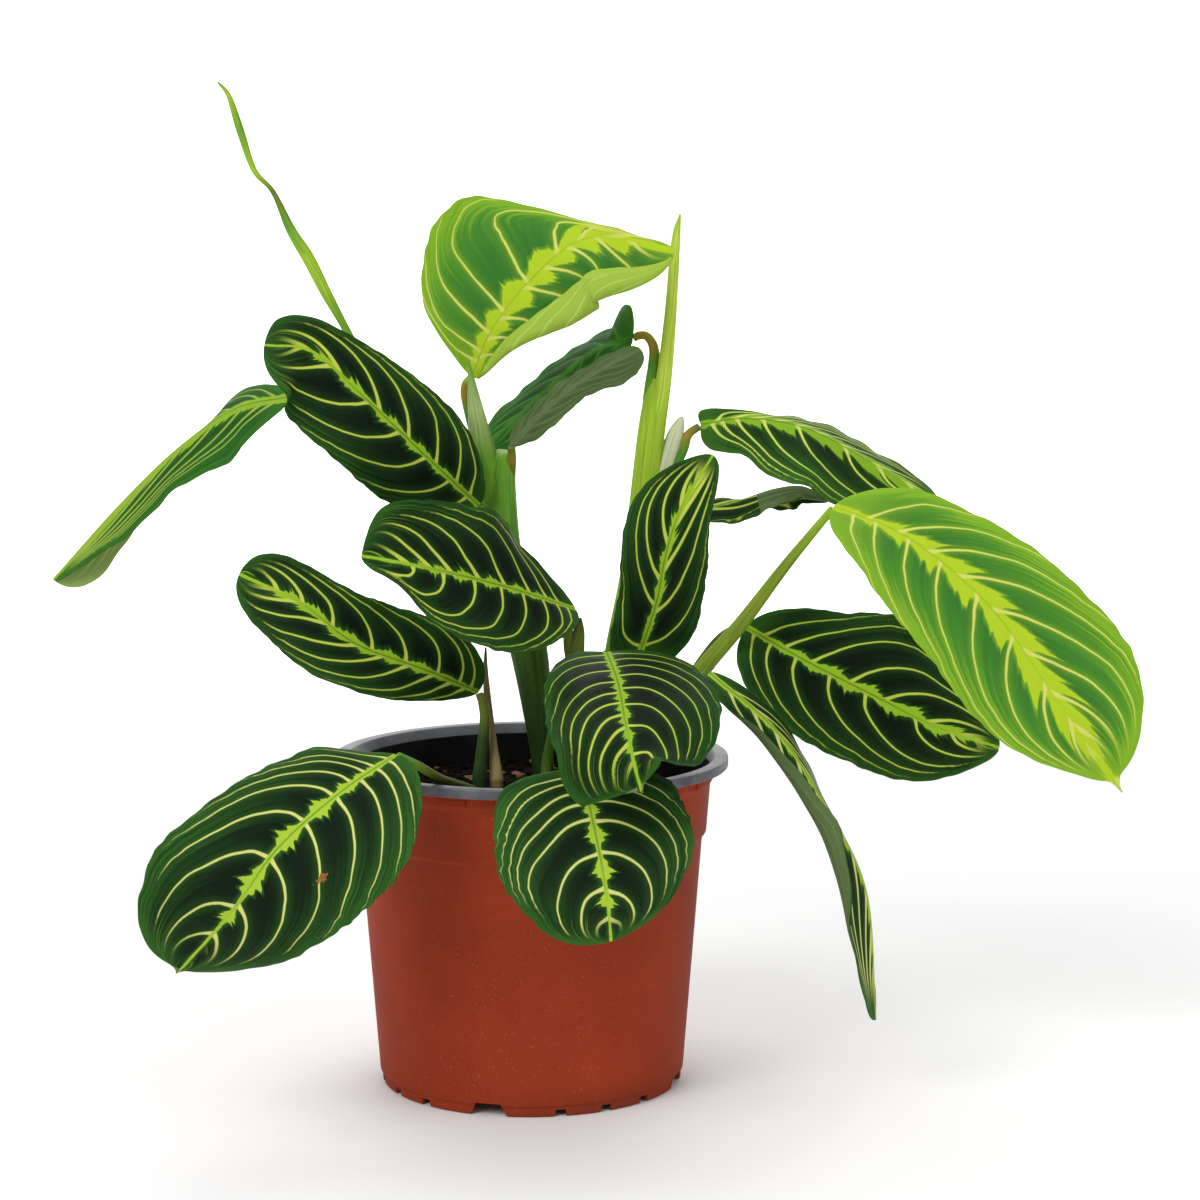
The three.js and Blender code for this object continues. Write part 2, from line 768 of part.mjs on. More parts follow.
// A wedge that cuts one notch out of the foot ring, at an angle round from the front.
function notchSolid(angle, low, high, tall) {
  const outline = new THREE.Shape([
    new THREE.Vector2(-low / 2, -1),
    new THREE.Vector2(low / 2, -1),
    new THREE.Vector2(high / 2, tall),
    new THREE.Vector2(-high / 2, tall),
  ]);
  const block = new THREE.ExtrudeGeometry(outline, { depth: 6, bevelEnabled: false });
  upright(block).translate(0, -BODY_FOOT + 3, 0).rotateZ(radians(angle));
  return solidFrom(block);
}

function potGeometry() {
  const shell = upright(new THREE.LatheGeometry(potProfile(), POT_SIDES));
  let pot = solidFrom(shell);
  for (let turn = 0; turn < 360; turn += NOTCH_TURN) {
    pot = pot.subtract(notchSolid(turn + WIDE_NOTCH.at, WIDE_NOTCH.low, WIDE_NOTCH.high, WIDE_NOTCH.tall));
    for (const at of SMALL_NOTCH.at) {
      pot = pot.subtract(notchSolid(turn + at, SMALL_NOTCH.low, SMALL_NOTCH.high, SMALL_NOTCH.tall));
    }
  }
  for (let i = 0; i < DRAIN.count; i++) {
    const angle = radians(DRAIN.at + (360 * i) / DRAIN.count);
    const hole = upright(new THREE.CylinderGeometry(DRAIN.radius, DRAIN.radius, 6, HOLE_SIDES));
    hole.translate(DRAIN.ring * Math.cos(angle), DRAIN.ring * Math.sin(angle), FLOOR_HIGH - 1);
    pot = pot.subtract(solidFrom(hole));
  }
  return geometryFrom(pot);
}

// Height of the soil: a low mound with small bumps.
function soilHeight(x, y) {
  const mound = SOIL_MOUND * (1 - (x * x + y * y) / (RIM_MOUTH * RIM_MOUTH));
  const broad = Math.sin(x / 5.1 + 1) * Math.cos(y / 4.3);
  const fine = 0.5 * Math.sin(x / 2.3 - y / 3.1);
  return SOIL_TOP + mound + SOIL_BUMP * (broad + fine);
}

function soilGeometry() {
  const floor = FLOOR_HIGH + GAP;
  const foot = innerRadius(FLOOR_HIGH + 1) - 1 - GAP;
  const edge = innerRadius(COLLAR_FOOT - 2) - GAP;
  const topRadius = BODY_TOP + COLLAR_STEP - WALL - GAP;
  const points = [new THREE.Vector3(0, 0, floor), new THREE.Vector3(0, 0, soilHeight(0, 0))];
  const rings = [
    [foot, () => floor],
    [edge, () => COLLAR_FOOT - 2],
  ];
  for (let i = SOIL_RINGS; i > 0; i--) rings.push([(topRadius * i) / SOIL_RINGS, soilHeight]);
  for (const [radius, height] of rings) {
    for (let k = 0; k < SOIL_SIDES; k++) {
      const angle = (2 * Math.PI * k) / SOIL_SIDES;
      const x = radius * Math.cos(angle);
      const y = radius * Math.sin(angle);
      points.push(new THREE.Vector3(x, y, height(x, y)));
    }
  }
  const triangles = [];
  const at = (ring, k) => 2 + ring * SOIL_SIDES + (k % SOIL_SIDES);
  const last = rings.length - 1;
  for (let k = 0; k < SOIL_SIDES; k++) {
    triangles.push(0, at(0, k + 1), at(0, k));
    triangles.push(1, at(last, k), at(last, k + 1));
    for (let ring = 0; ring < last; ring++) {
      triangles.push(at(ring, k), at(ring, k + 1), at(ring + 1, k + 1));
      triangles.push(at(ring, k), at(ring + 1, k + 1), at(ring + 1, k));
    }
  }
  let soil = solidFrom(closedGeometry(points, triangles));
  for (const shoot of Object.values(SHOOTS)) {
    const [x, y, radius] = shoot.foot;
    const deep = ROOTED + GAP;
    const hole = upright(new THREE.CylinderGeometry(radius + GAP, radius + GAP, 2 * deep, HOLE_SIDES));
    soil = soil.subtract(solidFrom(hole.translate(x, y, SOIL_TOP)));
  }
  return geometryFrom(soil);
}

// ---------------------------------------------------------------- the whole plant

const plant = new THREE.Group();
plant.add(mesh("pot", potGeometry(), 0x9a4630, 0.55));
plant.add(mesh("soil", soilGeometry(), 0x2b211b, 0.95));
for (const [name, shoot] of Object.entries(SHOOTS)) {
  plant.add(mesh(name, shootGeometry(shoot), shoot.colour, 0.5));
}
for (const [name, leaf] of Object.entries(LEAVES)) {
  plant.add(mesh(name, bladeGeometry(leaf), leaf.colour, 0.45));
}

// The plant is moved so that the middle of its box stands over the origin, with the foot of the pot at z = 0.
const box = new THREE.Box3().setFromObject(plant);
const middle = box.getCenter(new THREE.Vector3());
plant.position.set(-middle.x, -middle.y, -box.min.z);

const part = new THREE.Group();
part.add(plant);

export default part;
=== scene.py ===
# %% [markdown]
# # A potted prayer plant
# A prayer plant, or maranta, has upright shoots with long leaf stalks and oval blades. A pale vein runs out
# from the midrib to the margin every centimetre or so, and the blade between the veins is nearly black.
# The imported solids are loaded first. They say where every leaf, stem and the pot stand, so each finer piece
# that is modelled here goes where its solid is. The table of the leaves below repeats the rows by which the
# solids were made, so a fine blade and its plain solid have the same curve.

import math
import random

import bpy
import numpy as np
from mathutils import Matrix, Vector


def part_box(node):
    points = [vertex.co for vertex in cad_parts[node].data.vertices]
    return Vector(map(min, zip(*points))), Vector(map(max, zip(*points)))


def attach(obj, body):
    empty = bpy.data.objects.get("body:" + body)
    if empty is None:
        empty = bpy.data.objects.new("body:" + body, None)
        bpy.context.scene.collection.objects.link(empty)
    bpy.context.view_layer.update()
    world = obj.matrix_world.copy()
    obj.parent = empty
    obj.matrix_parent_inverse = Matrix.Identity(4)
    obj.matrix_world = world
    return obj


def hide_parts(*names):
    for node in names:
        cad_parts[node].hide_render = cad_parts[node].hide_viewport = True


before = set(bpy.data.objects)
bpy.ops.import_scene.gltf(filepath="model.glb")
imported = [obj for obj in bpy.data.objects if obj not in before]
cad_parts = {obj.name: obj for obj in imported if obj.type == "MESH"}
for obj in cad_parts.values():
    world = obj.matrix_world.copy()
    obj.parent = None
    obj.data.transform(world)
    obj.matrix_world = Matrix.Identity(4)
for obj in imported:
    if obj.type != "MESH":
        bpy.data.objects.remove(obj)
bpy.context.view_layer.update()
pot_low, pot_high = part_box("pot")
AXIS = Vector(((pot_low.x + pot_high.x) / 2, (pot_low.y + pot_high.y) / 2, 0))
MM = 0.001
print("solids:", len(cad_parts), "pot axis:", [round(c / MM, 2) for c in AXIS])

# %% [markdown]
# ## Camera, light and ground
# The picture is seen from the front, from a little above the pot, through a long lens. The camera comes
# first because the work on every later piece is judged through it. The light is soft and even, as in a white
# studio: one broad light from the front left, a weaker one from the right, one above, and a pale sky.

# %% Camera
CAMERA_PLACE = Vector((0.021, -0.9, 0.262))  # from the foot of the pot's axis
LOOK_DOWN = 7.27  # degrees

bpy.ops.object.camera_add(location=AXIS + CAMERA_PLACE, rotation=(math.radians(90 - LOOK_DOWN), 0, 0))
camera = bpy.context.active_object
camera.name = "camera"
camera.data.lens = 90
camera.data.sensor_width = 36
camera.data.clip_start = 0.01
bpy.context.scene.camera = camera
print("camera at", [round(c, 3) for c in camera.location])


# %% Small helpers for nodes and colours
def colour(code):
    """A colour from its six-digit web code, as the linear numbers that a shader takes."""
    parts = [int(code[i : i + 2], 16) / 255 for i in (0, 2, 4)]
    return [p / 12.92 if p <= 0.04045 else ((p + 0.055) / 1.055) ** 2.4 for p in parts] + [1]


def put(tree, kind, values=None, **settings):
    """Adds a node, with its settings and what goes into its sockets: numbers, or outputs of other nodes."""
    node = tree.nodes.new(kind)
    for key, value in settings.items():
        setattr(node, key, value)
    for key, value in (values or {}).items():
        if isinstance(value, bpy.types.NodeSocket):
            tree.links.new(value, node.inputs[key])
        else:
            node.inputs[key].default_value = value
    return node


def sum_of(tree, operation, *values):
    return put(tree, "ShaderNodeMath", dict(enumerate(values)), operation=operation).outputs[0]


def ramp_between(tree, value, start, end):
    """0 where value is at start, 1 where it is at end, smooth between them."""
    values = {"Value": value, "From Min": start, "From Max": end}
    return put(tree, "ShaderNodeMapRange", values, interpolation_type="SMOOTHSTEP").outputs[0]


def blend_of(tree, share, first, second):
    """The first colour where the share is 0, the second where it is 1."""
    return put(tree, "ShaderNodeMix", {0: share, 6: first, 7: second}, data_type="RGBA").outputs[2]


def toned(tree, pattern, start, end, *tones):
    """Goes from a first tone to a second as a pattern goes from start to end. A tone is a code or an output."""
    first, second = [colour(tone) if isinstance(tone, str) else tone for tone in tones]
    return blend_of(tree, ramp_between(tree, pattern, start, end), first, second)


def speckle(tree, vector, scale, detail=2.0):
    """A noise from 0 to 1, with so many spots for each unit of the vector."""
    values = {"Vector": vector, "Scale": scale, "Detail": detail}
    return put(tree, "ShaderNodeTexNoise", values).outputs["Fac"]


def group_of(name, inputs, outputs):
    """An empty node group with named inputs and outputs, and its two end nodes."""
    group = bpy.data.node_groups.new(name, "ShaderNodeTree")
    kinds = {"v": "NodeSocketVector", "f": "NodeSocketFloat", "c": "NodeSocketColor"}
    for label, kind in inputs.items():
        group.interface.new_socket(label, in_out="INPUT", socket_type=kinds[kind])
    for label, kind in outputs.items():
        group.interface.new_socket(label, in_out="OUTPUT", socket_type=kinds[kind])
    return group, group.nodes.new("NodeGroupInput"), group.nodes.new("NodeGroupOutput")


def finish_of(name, roughness, specular):
    """A plain material, its node tree and its shader."""
    material = bpy.data.materials.new(name)
    material.use_nodes = True
    shader = material.node_tree.nodes["Principled BSDF"]
    shader.inputs["Roughness"].default_value = roughness
    shader.inputs["Specular IOR Level"].default_value = specular
    return material, material.node_tree, shader


def object_place(tree):
    return put(tree, "ShaderNodeTexCoord").outputs["Object"]


def stored(tree, name, output="Vector"):
    """What the points of a mesh keep under a name, as a node's output."""
    return put(tree, "ShaderNodeAttribute", attribute_name=name).outputs[output]


def paint(tree, shader, tone, height, strength, distance):
    """Gives a shader its colour, and lets a height pattern tilt the light on the surface."""
    node = put(tree, "ShaderNodeBump", {"Height": height, "Strength": strength, "Distance": distance})
    tree.links.new(tone, shader.inputs["Base Color"])
    tree.links.new(node.outputs["Normal"], shader.inputs["Normal"])


def speckled(name, roughness, specular, noise, span, tones, relief):
    """A material with one noise: its scale and detail, the span of it over which the first tone becomes the
    second, and the strength and depth of its relief."""
    material, tree, shader = finish_of(name, roughness, specular)
    dots = speckle(tree, object_place(tree), *noise)
    paint(tree, shader, toned(tree, dots, *span, *tones), dots, *relief)
    return material


print("node helpers ready")


# %% Small helpers for meshes
def deselect():
    bpy.ops.object.select_all(action="DESELECT")


def edit(selection="SELECT"):
    """Enters edit mode with everything selected, or with nothing."""
    bpy.ops.object.mode_set(mode="EDIT")
    bpy.ops.mesh.select_all(action=selection)


def leave_edit():
    bpy.ops.object.mode_set(mode="OBJECT")


def pick_edges(piece, test):
    """Enters edit mode with just those edges selected whose two ends pass a test."""
    edit("DESELECT")
    leave_edit()
    for edge in piece.data.edges:
        edge.select = all(test(piece.data.vertices[i].co) for i in edge.vertices)
    bpy.ops.object.mode_set(mode="EDIT")
    bpy.ops.mesh.select_mode(type="EDGE")


def last_made(name):
    """The piece that the last operator made, with its name."""
    piece = bpy.context.active_object
    piece.name = name
    piece.data.name = name
    return piece


print("mesh helpers ready")

# %% [markdown]
# The ground is one sheet that runs back and then sweeps up, as a roll of white paper does in a studio. A
# plane with a wall would show the corner, and a plane alone would end in a line. The back edge is extruded
# upwards and the fold between them is bevelled into a wide arc.

# %% Ground and light
FLOOR_SIZE = 6.0
SWEEP = 1.2

deselect()
bpy.ops.mesh.primitive_plane_add(size=FLOOR_SIZE, location=(0, 0, -0.0002))
ground = last_made("ground")
pick_edges(ground, lambda end: end.y > 0)
bpy.ops.mesh.extrude_region_move(TRANSFORM_OT_translate={"value": (0, 0, FLOOR_SIZE / 2)})
pick_edges(ground, lambda end: abs(end.z) < 0.01 and end.y > 0)
bpy.ops.mesh.bevel(offset=SWEEP, segments=24)
leave_edit()
bpy.ops.object.shade_smooth()
paper, tree, shader = finish_of("white_paper", 0.9, 0.2)
shader.inputs["Base Color"].default_value = colour("f4f4f4")
ground.data.materials.append(paper)


def soft_light(name, place, power, size):
    """A square area light that looks at the middle of the plant."""
    spot = AXIS + Vector(place)
    aim = AXIS + Vector((0.02, 0, 0.14)) - spot
    bpy.ops.object.light_add(type="AREA", location=spot, rotation=aim.to_track_quat("-Z", "Y").to_euler())
    light = bpy.context.active_object
    light.name = name
    light.data.energy = power
    light.data.size = size
    return light


soft_light("key_light", (-0.9, -1.3, 1.25), 21, 1.0)
soft_light("fill_light", (1.3, -0.9, 0.7), 6.5, 1.2)
soft_light("top_light", (0.1, 0.5, 1.5), 8, 1.2)
backdrop_light = soft_light("backdrop_light", (0, 0.9, 1.5), 90, 2.0)
backdrop_light.rotation_euler = Vector((0, 1, -0.25)).to_track_quat("-Z", "Y").to_euler()
world = bpy.data.worlds.new("pale_sky")
bpy.context.scene.world = world
world.use_nodes = True
sky = world.node_tree.nodes["Background"]
sky.inputs["Color"].default_value = (1, 1, 1, 1)
sky.inputs["Strength"].default_value = 0.46
bpy.context.scene.view_settings.view_transform = "Standard"
print("ground faces:", len(ground.data.polygons))

# %% [markdown]
# ## The leaves
# A blade is thin, curved along its midrib and folded a little along it, and it rolls or waves towards its
# margin. It could be sculpted, but then nothing would tie it to its solid. Instead each blade starts as a
# flat grid, and each point of the grid is carried to its place beside the midrib by the same rule that made
# the solid: the row along the midrib says where the rib runs, which way the blade looks and how wide it is.
# The grid is much finer here, and its margin gets small uneven waves. Solidify gives it its thickness.

# %% Table of the leaves
# rib: x, y, z in mm from the foot of the pot's axis, the way the face looks (degrees round, degrees up), and
# the half widths, left and right. look, under: the colours of the face and of the underside.
# veins: where each vein leaves the midrib, as shares of its length, left half then right.
# sweep: how far a vein has run forward at each quarter of the way to the margin, left half then right.
# band: half width of the bright stripe on the midrib, mm. lobe: reach of its lobes, mm. They are spikes in the
# middle between two veins, unless wedge turns them into teeth that grow towards the next vein, or hump into
# round humps. edge: how much further in the pale margin starts. tip: how far the tip is drawn out, mm.
# turned: the share of the length from which the leaf shows its other face. mark: a dry brown spot, mm along the
# midrib and mm to the side.
# A half can also have a bend, the shares of its width between which it curls, a notch in its margin (share of
# the length, share of the width), an ear at its base (mm) and a flap that folds its base further (degrees).
DARK = {"deep": "08140a", "green": "162e12", "margin": "2b591c", "vein": "b4c24c", "rib": "8eb22a"}
FRESH = {"deep": "0d1d0f", "green": "1d3d18", "margin": "356523", "vein": "ccd078", "rib": "a0c038"}
LIME = {"deep": "316d27", "green": "458128", "margin": "82ac26", "vein": "c6ca62", "rib": "a6c026"}
GREY = {"deep": "50653c", "green": "586f42", "margin": "62784a", "vein": "6a7f53", "rib": "748660"}
PALE = {"deep": "86a63a", "green": "8fae3e", "margin": "9ab642", "vein": "b0c460", "rib": "b8cc58"}
SAGE = {"deep": "76904a", "green": "7f9852", "margin": "86a056", "vein": "9ab06c", "rib": "a2b870"}


def half(fold, curl=-10, wave=1.2, **more):
    """Half a blade: its degrees at the midrib, those added towards the margin, and its waves in mm."""
    return {"fold": fold, "curl": curl, "wave": wave, "count": 2.5, **more}


LEAVES = {
    "leaf_top": {
        "rib": [[-18, 14, 214, -15, 5, 12, 12], [-11, 8, 229, -15, 15, 35, 18], [2, 2, 245, -10, 25, 32, 32],
                [18, -2, 256, -5, 30, 5, 38], [43, -4, 252, 0, 30, 5, 34]],
        "halves": [half(8, -10, 1.6, count=3), half(-5, 195, 0, count=0, bend=(0.54, 0.84))],
        "look": LIME, "under": PALE, "band": 1.6, "lobe": 4.8, "wedge": 0.2, "hump": 0.55, "edge": 0.1,
        "veins": [[0.06, 0.105, 0.185, 0.28, 0.42, 0.57, 0.66, 0.77],
                  [0.08, 0.16, 0.25, 0.395, 0.5, 0.61, 0.72, 0.84]],
        "sweep": [[0.025, 0.05, 0.11, 0.4], [0.13, 0.22, 0.4, 0.7]],
    },
    "leaf_upper_left": {
        "rib": [[-16, 10, 175, -26, 25, 16, 11], [-30, -4, 190, -17, 24, 19, 16],
                [-48, -16, 209, -8, 22, 20, 14], [-63, -22, 223, -11, 18, 23, 12],
                [-77, -22, 225, -13, 12, 25, 19]],
        "halves": [half(10)] * 2,
        "look": DARK, "under": GREY, "band": 0.7, "lobe": 1.6,
        "veins": [[0.06, 0.165, 0.295, 0.43, 0.58, 0.76, 0.875], [0.053, 0.138, 0.25, 0.39, 0.53, 0.72, 0.85]],
        "sweep": [[0.07, 0.175, 0.34, 0.55], [0.09, 0.195, 0.34, 0.66]],
    },
    "leaf_left_front": {
        "rib": [[13.5, -2, 144.5, -9, 44, 15, 11], [-5, -20, 153, -3, 30, 21, 21],
                [-22, -32, 159, 2, 15, 17, 21], [-37, -38, 163, -1, 6, 8, 24], [-48, -38, 165, -4, -4, 7, 34]],
        "halves": [half(8, -12)] * 2,
        "look": DARK, "under": GREY, "band": 0.7, "lobe": 1.5,
        "veins": [[0.058, 0.117, 0.195, 0.305, 0.416, 0.54, 0.677, 0.8],
                  [0.09, 0.16, 0.26, 0.39, 0.515, 0.64, 0.73, 0.82]],
        "sweep": [[-0.01, 0.03, 0.15, 0.55], [0.11, 0.2, 0.36, 0.67]],
    },
    "leaf_left_middle": {
        "rib": [[-16, 1, 119, -27, 7, 6, 18], [-32, -10, 127.5, -19, 22, 11, 17],
                [-52, -15, 136, -10, 36, 15, 15], [-68, -14, 148, -9, 25, 16, 12],
                [-87, -8, 156, -9, 11, 16, 18]],
        "halves": [half(8)] * 2,
        "look": DARK, "under": GREY, "band": 0.7, "lobe": 2, "wedge": 0.3,
        "veins": [[0.05, 0.12, 0.2, 0.3, 0.4, 0.5, 0.63, 0.76, 0.87],
                  [0.041, 0.094, 0.19, 0.318, 0.447, 0.61, 0.737, 0.847]],
        "sweep": [[0.1, 0.2, 0.32, 0.55], [0.04, 0.12, 0.29, 0.6]],
    },
    "leaf_low_left": {
        "rib": [[-37, -58, 110, -42, 19, 25, 27], [-52, -74, 102, -16, 18, 30, 20],
                [-68, -86, 89, 8, 15, 29, 22], [-80, -92, 73, 26, -3, 28, 31], [-95, -90, 56, 44, -18, 31, 38]],
        "halves": [half(6, -15)] * 2,
        "look": FRESH, "under": GREY, "tip": 2, "band": 0.8, "lobe": 3, "mark": (45, -14.6, 0),
        "veins": [[0.04, 0.096, 0.168, 0.27, 0.405, 0.56, 0.725, 0.846],
                  [0.03, 0.091, 0.133, 0.196, 0.274, 0.403, 0.56, 0.735, 0.845]],
        "sweep": [[0.05, 0.17, 0.34, 0.55], [0.04, 0.15, 0.33, 0.59]],
    },
    "leaf_low_front": {
        "rib": [[16, -56, 106, 4, 63, 37, 35], [18, -69, 98, 4, 37, 28, 29], [21, -77, 85, 4, 20, 27, 29],
                [23, -80, 73, 18, 13, 25, 27], [24, -79, 61, 33, 4, 26, 28]],
        "halves": [half(4, -14)] * 2,
        "look": FRESH, "under": GREY, "band": 0.75, "lobe": 2.6,
        "veins": [[0.07, 0.16, 0.26, 0.375, 0.54, 0.735, 0.88],
                  [0.07, 0.125, 0.2, 0.27, 0.36, 0.545, 0.72, 0.87]],
        "sweep": [[0.06, 0.2, 0.41, 0.72], [0.05, 0.2, 0.37, 0.7]],
    },
    "leaf_centre": {
        "rib": [[23, -20, 134, -7, 84, 24, 18.5], [26, -50, 130, 11, 61, 29.5, 22],
                [28, -75.5, 122.6, 27, 56, 28, 23.5], [30, -89, 114.8, 10, -17, 23.5, 27.5],
                [32, -99, 109, 0, -19, 14.5, 39.5]],
        "halves": [half(6, [1, -17, -19, -38, -25], 0, count=0, bend=(0.15, 0.8), notch=(0.9, 0.5)),
                   half(6, [11, -16, -47, -48, 20], 0, count=0, bend=(0.15, 0.8))],
        "look": DARK, "under": GREY, "tip": 3, "band": 0.9, "lobe": 1.8,
        "veins": [[0.04, 0.12, 0.21, 0.31, 0.43, 0.56, 0.7, 0.84],
                  [0.04, 0.13, 0.245, 0.368, 0.465, 0.545, 0.63, 0.71, 0.79, 0.88]],
        "sweep": [[0, 0.14, 0.34, 0.65], [0.086, 0.194, 0.348, 0.606]],
    },
    "leaf_upright": {
        "rib": [[33, 6, 130, 22, 7, 20, 22], [38, -2, 147, 20, 4, 13, 16], [41, -6, 163, 18, 1, 15, 13],
                [46, -6, 177, 1, 7, 14, 10], [55, 0, 191, -15, 12, 8, 8]],
        "halves": [half(8, ear=7)] * 2,
        "look": DARK, "under": GREY, "band": 0.8, "lobe": 1.4,
        "veins": [[0.04, 0.26, 0.385, 0.55, 0.72, 0.86], [0.04, 0.22, 0.42, 0.63, 0.82]],
        "sweep": [[0.12, 0.27, 0.48, 0.8], [0.2, 0.4, 0.63, 0.88]],
    },
    "leaf_upper_right": {
        "rib": [[52, 18, 199, 6, 39, 17, 19], [66, 16, 201, 7, 57, 5, 16], [84, 14, 198, 11, 73, 13, 23],
                [103, 14, 188, 13, 68, 17, 20], [125, 16, 175, 13, 64, 15, 11]],
        "halves": [half(-6, -6, 0.6, ear=4), half(-22, ear=3)],
        "look": {"deep": "13280e", "green": "264c19", "margin": "38681d", "vein": "b8ca58", "rib": "7aa424"},
        "under": {"deep": "3a5626", "green": "44642b", "margin": "547432", "vein": "7f9a48", "rib": "84a042"},
        "band": 1.1, "lobe": 4.6, "wedge": 1,
        "veins": [[0.06, 0.13, 0.2, 0.29, 0.37, 0.45, 0.55, 0.7, 0.84],
                  [0.04, 0.08, 0.14, 0.24, 0.375, 0.575, 0.72, 0.86]],
        "sweep": [[0.1, 0.2, 0.4, 0.8], [0.08, 0.22, 0.45, 0.75]],
    },
    "leaf_big_right": {
        "rib": [[91, -6, 176, 16, 39, 20, 19], [112, -20, 168, 7, 33, 20, 22], [135, -32, 149, -2, 23, 22, 24],
                [155, -38, 121, -6, 11, 29, 22], [171, -36, 99, -10, -3, 25, 11]],
        "halves": [half(8, -12)] * 2,
        "look": LIME, "under": PALE, "tip": 5, "band": 1.3, "lobe": 5.5, "wedge": 1, "edge": 0.15,
        "veins": [[0.1, 0.19, 0.28, 0.375, 0.49, 0.615, 0.735, 0.835, 0.92],
                  [0.058, 0.124, 0.22, 0.32, 0.44, 0.57, 0.71, 0.815, 0.9]],
        "sweep": [[0.1, 0.21, 0.34, 0.52], [0.065, 0.15, 0.3, 0.55]],
    },
    "leaf_right_back": {
        "rib": [[66, 17, 136.4, 13, 40, 20, 28], [85, 11, 126.4, 8, 33, 22, 25], [105, 9, 116.4, 3, 22, 26, 23],
                [124, 13, 106.4, 6, 23, 20, 20], [145, 19, 98.4, 9, 23, 12, 11]],
        "halves": [half(8)] * 2,
        "look": DARK, "under": GREY, "band": 0.9, "lobe": 3, "wedge": 0.2,
        "veins": [[0.063, 0.148, 0.25, 0.397, 0.532, 0.71, 0.84, 0.93],
                  [0.039, 0.103, 0.2, 0.33, 0.466, 0.66, 0.807, 0.9]],
        "sweep": [[0.115, 0.26, 0.46, 0.7], [0.05, 0.18, 0.38, 0.7]],
    },
    "leaf_hanging_right": {
        "rib": [[54, -4, 125.5, 25, 45, 10, 12], [74, -14, 109, 50, 30, 14, 14], [88, -22, 88, 68, 15, 15, 18],
                [100, -28, 63, 70, 8, 15, 26], [103, -30, 25, 70, 0, 8, 12]],
        "halves": [half(-14, -10, 0.6), half(-12, [20, 110, 100, 40, 10], 0.6, bend=(0.45, 0.9))],
        "look": FRESH, "under": GREY, "band": 0.8, "lobe": 1.4,
        "veins": [[0.06, 0.14, 0.22, 0.31, 0.4, 0.49, 0.58, 0.67, 0.76, 0.86]] * 2,
        "sweep": [[0.2, 0.4, 0.7, 1], [0.15, 0.32, 0.55, 0.85]],
    },
    "leaf_behind_top": {
        "rib": [[31, 24, 225, -15, 60, 12, 21], [19, 28, 221, -15, 64, 13, 16], [7, 31, 211, -15, 64, 13, 14],
                [-4, 33, 201, -15, 62, 12, 15], [-16, 34, 190, -15, 58, 9, 12]],
        "halves": [half(-14, -10, 0.6), half(-2, -10, 0.6, ear=7, flap=95)],
        "look": {"deep": "23481a", "green": "2f6520", "margin": "3c7828", "vein": "4a8030", "rib": "4c8430"},
        "under": GREY, "band": 0.7, "lobe": 1,
        "veins": [[0.06, 0.16, 0.28, 0.42, 0.57, 0.72, 0.86]] * 2,
        "sweep": [[0.12, 0.25, 0.45, 0.7]] * 2,
    },
    "leaf_small_back": {
        "rib": [[50, 32, 171, -10, 45, 4, 8], [63, 31, 174, -10, 50, 6, 9], [75, 30, 178, -8, 56, 8, 8],
                [84, 28, 179, -5, 60, 7, 7], [92, 26, 175, 0, 60, 5, 5]],
        "halves": [half([0, -20, -80, -110, -110], -10, 0.3), half(4, -10, 0.3)],
        "look": DARK, "under": GREY, "band": 0.35, "lobe": 0.4, "turned": 0.45,
        "veins": [[0.05, 0.4, 0.75]] * 2,
        "sweep": [[0.5, 0.9, 1.2, 1.5]] * 2,
    },
    "leaf_far_left": {
        "rib": [[-73, 8, 208, -30, 50, 12, 12], [-90, 14, 204, -30, 52, 19, 15],
                [-108, 18, 192, -30, 58, 15, 10], [-127, 20, 174, -25, 62, 12, 8],
                [-148, 20, 151, -20, 62, 8, 20]],
        "halves": [half(-12, -10, 0.8), half([0, -10, -60, -100, -115], -10, 0.5)],
        "look": {"deep": "1d4719", "green": "295c1d", "margin": "376d23", "vein": "8fa844", "rib": "86aa2a"},
        "under": SAGE, "band": 1.6, "lobe": 3, "wedge": 0.5,
        "veins": [[0.03, 0.08, 0.15, 0.25, 0.37, 0.5, 0.64, 0.8],
                  [0.04, 0.1, 0.2, 0.33, 0.47, 0.62, 0.78, 0.9]],
        "sweep": [[0.2, 0.45, 0.75, 1], [0.1, 0.25, 0.45, 0.8]],
    },
    "leaf_under_back": {
        "rib": [[-6, 14, 193, 172, 50, 7, 5], [4, 8, 204, 173, 56, 7, 5], [15, 4, 213, 175, 60, 8, 5],
                [25, 0, 219, 178, 60, 14, 6], [33, -2, 223, 180, 58, 17, 7]],
        "halves": [half(4, -10, 0.5)] * 2,
        "look": FRESH, "under": GREY, "band": 0.6, "lobe": 0.8,
        "veins": [[0.06, 0.16, 0.28, 0.42, 0.57, 0.72, 0.86]] * 2,
        "sweep": [[0.12, 0.25, 0.45, 0.7]] * 2,
    },
}
print("leaves:", len(LEAVES), "midrib rows:", sum(len(leaf["rib"]) for leaf in LEAVES.values()))


# %% Rules that carry a flat grid onto a curved blade
EAR = 0.15  # share of the length over which an ear or a flap fades out
BLUNT = 2.6  # how bluntly the ends of the outline are rounded
SAMPLES = 401  # points by which the length of a midrib is measured
STEPS = 12  # short steps that walk out across half a blade
NARROW = 8  # half width under which a blade rolls less, mm
RIPPLE = 0.35  # height of the fine ripples of the margin, mm
NOTCH_SPAN = 0.045  # share of the length from the middle of a notch to its shoulder


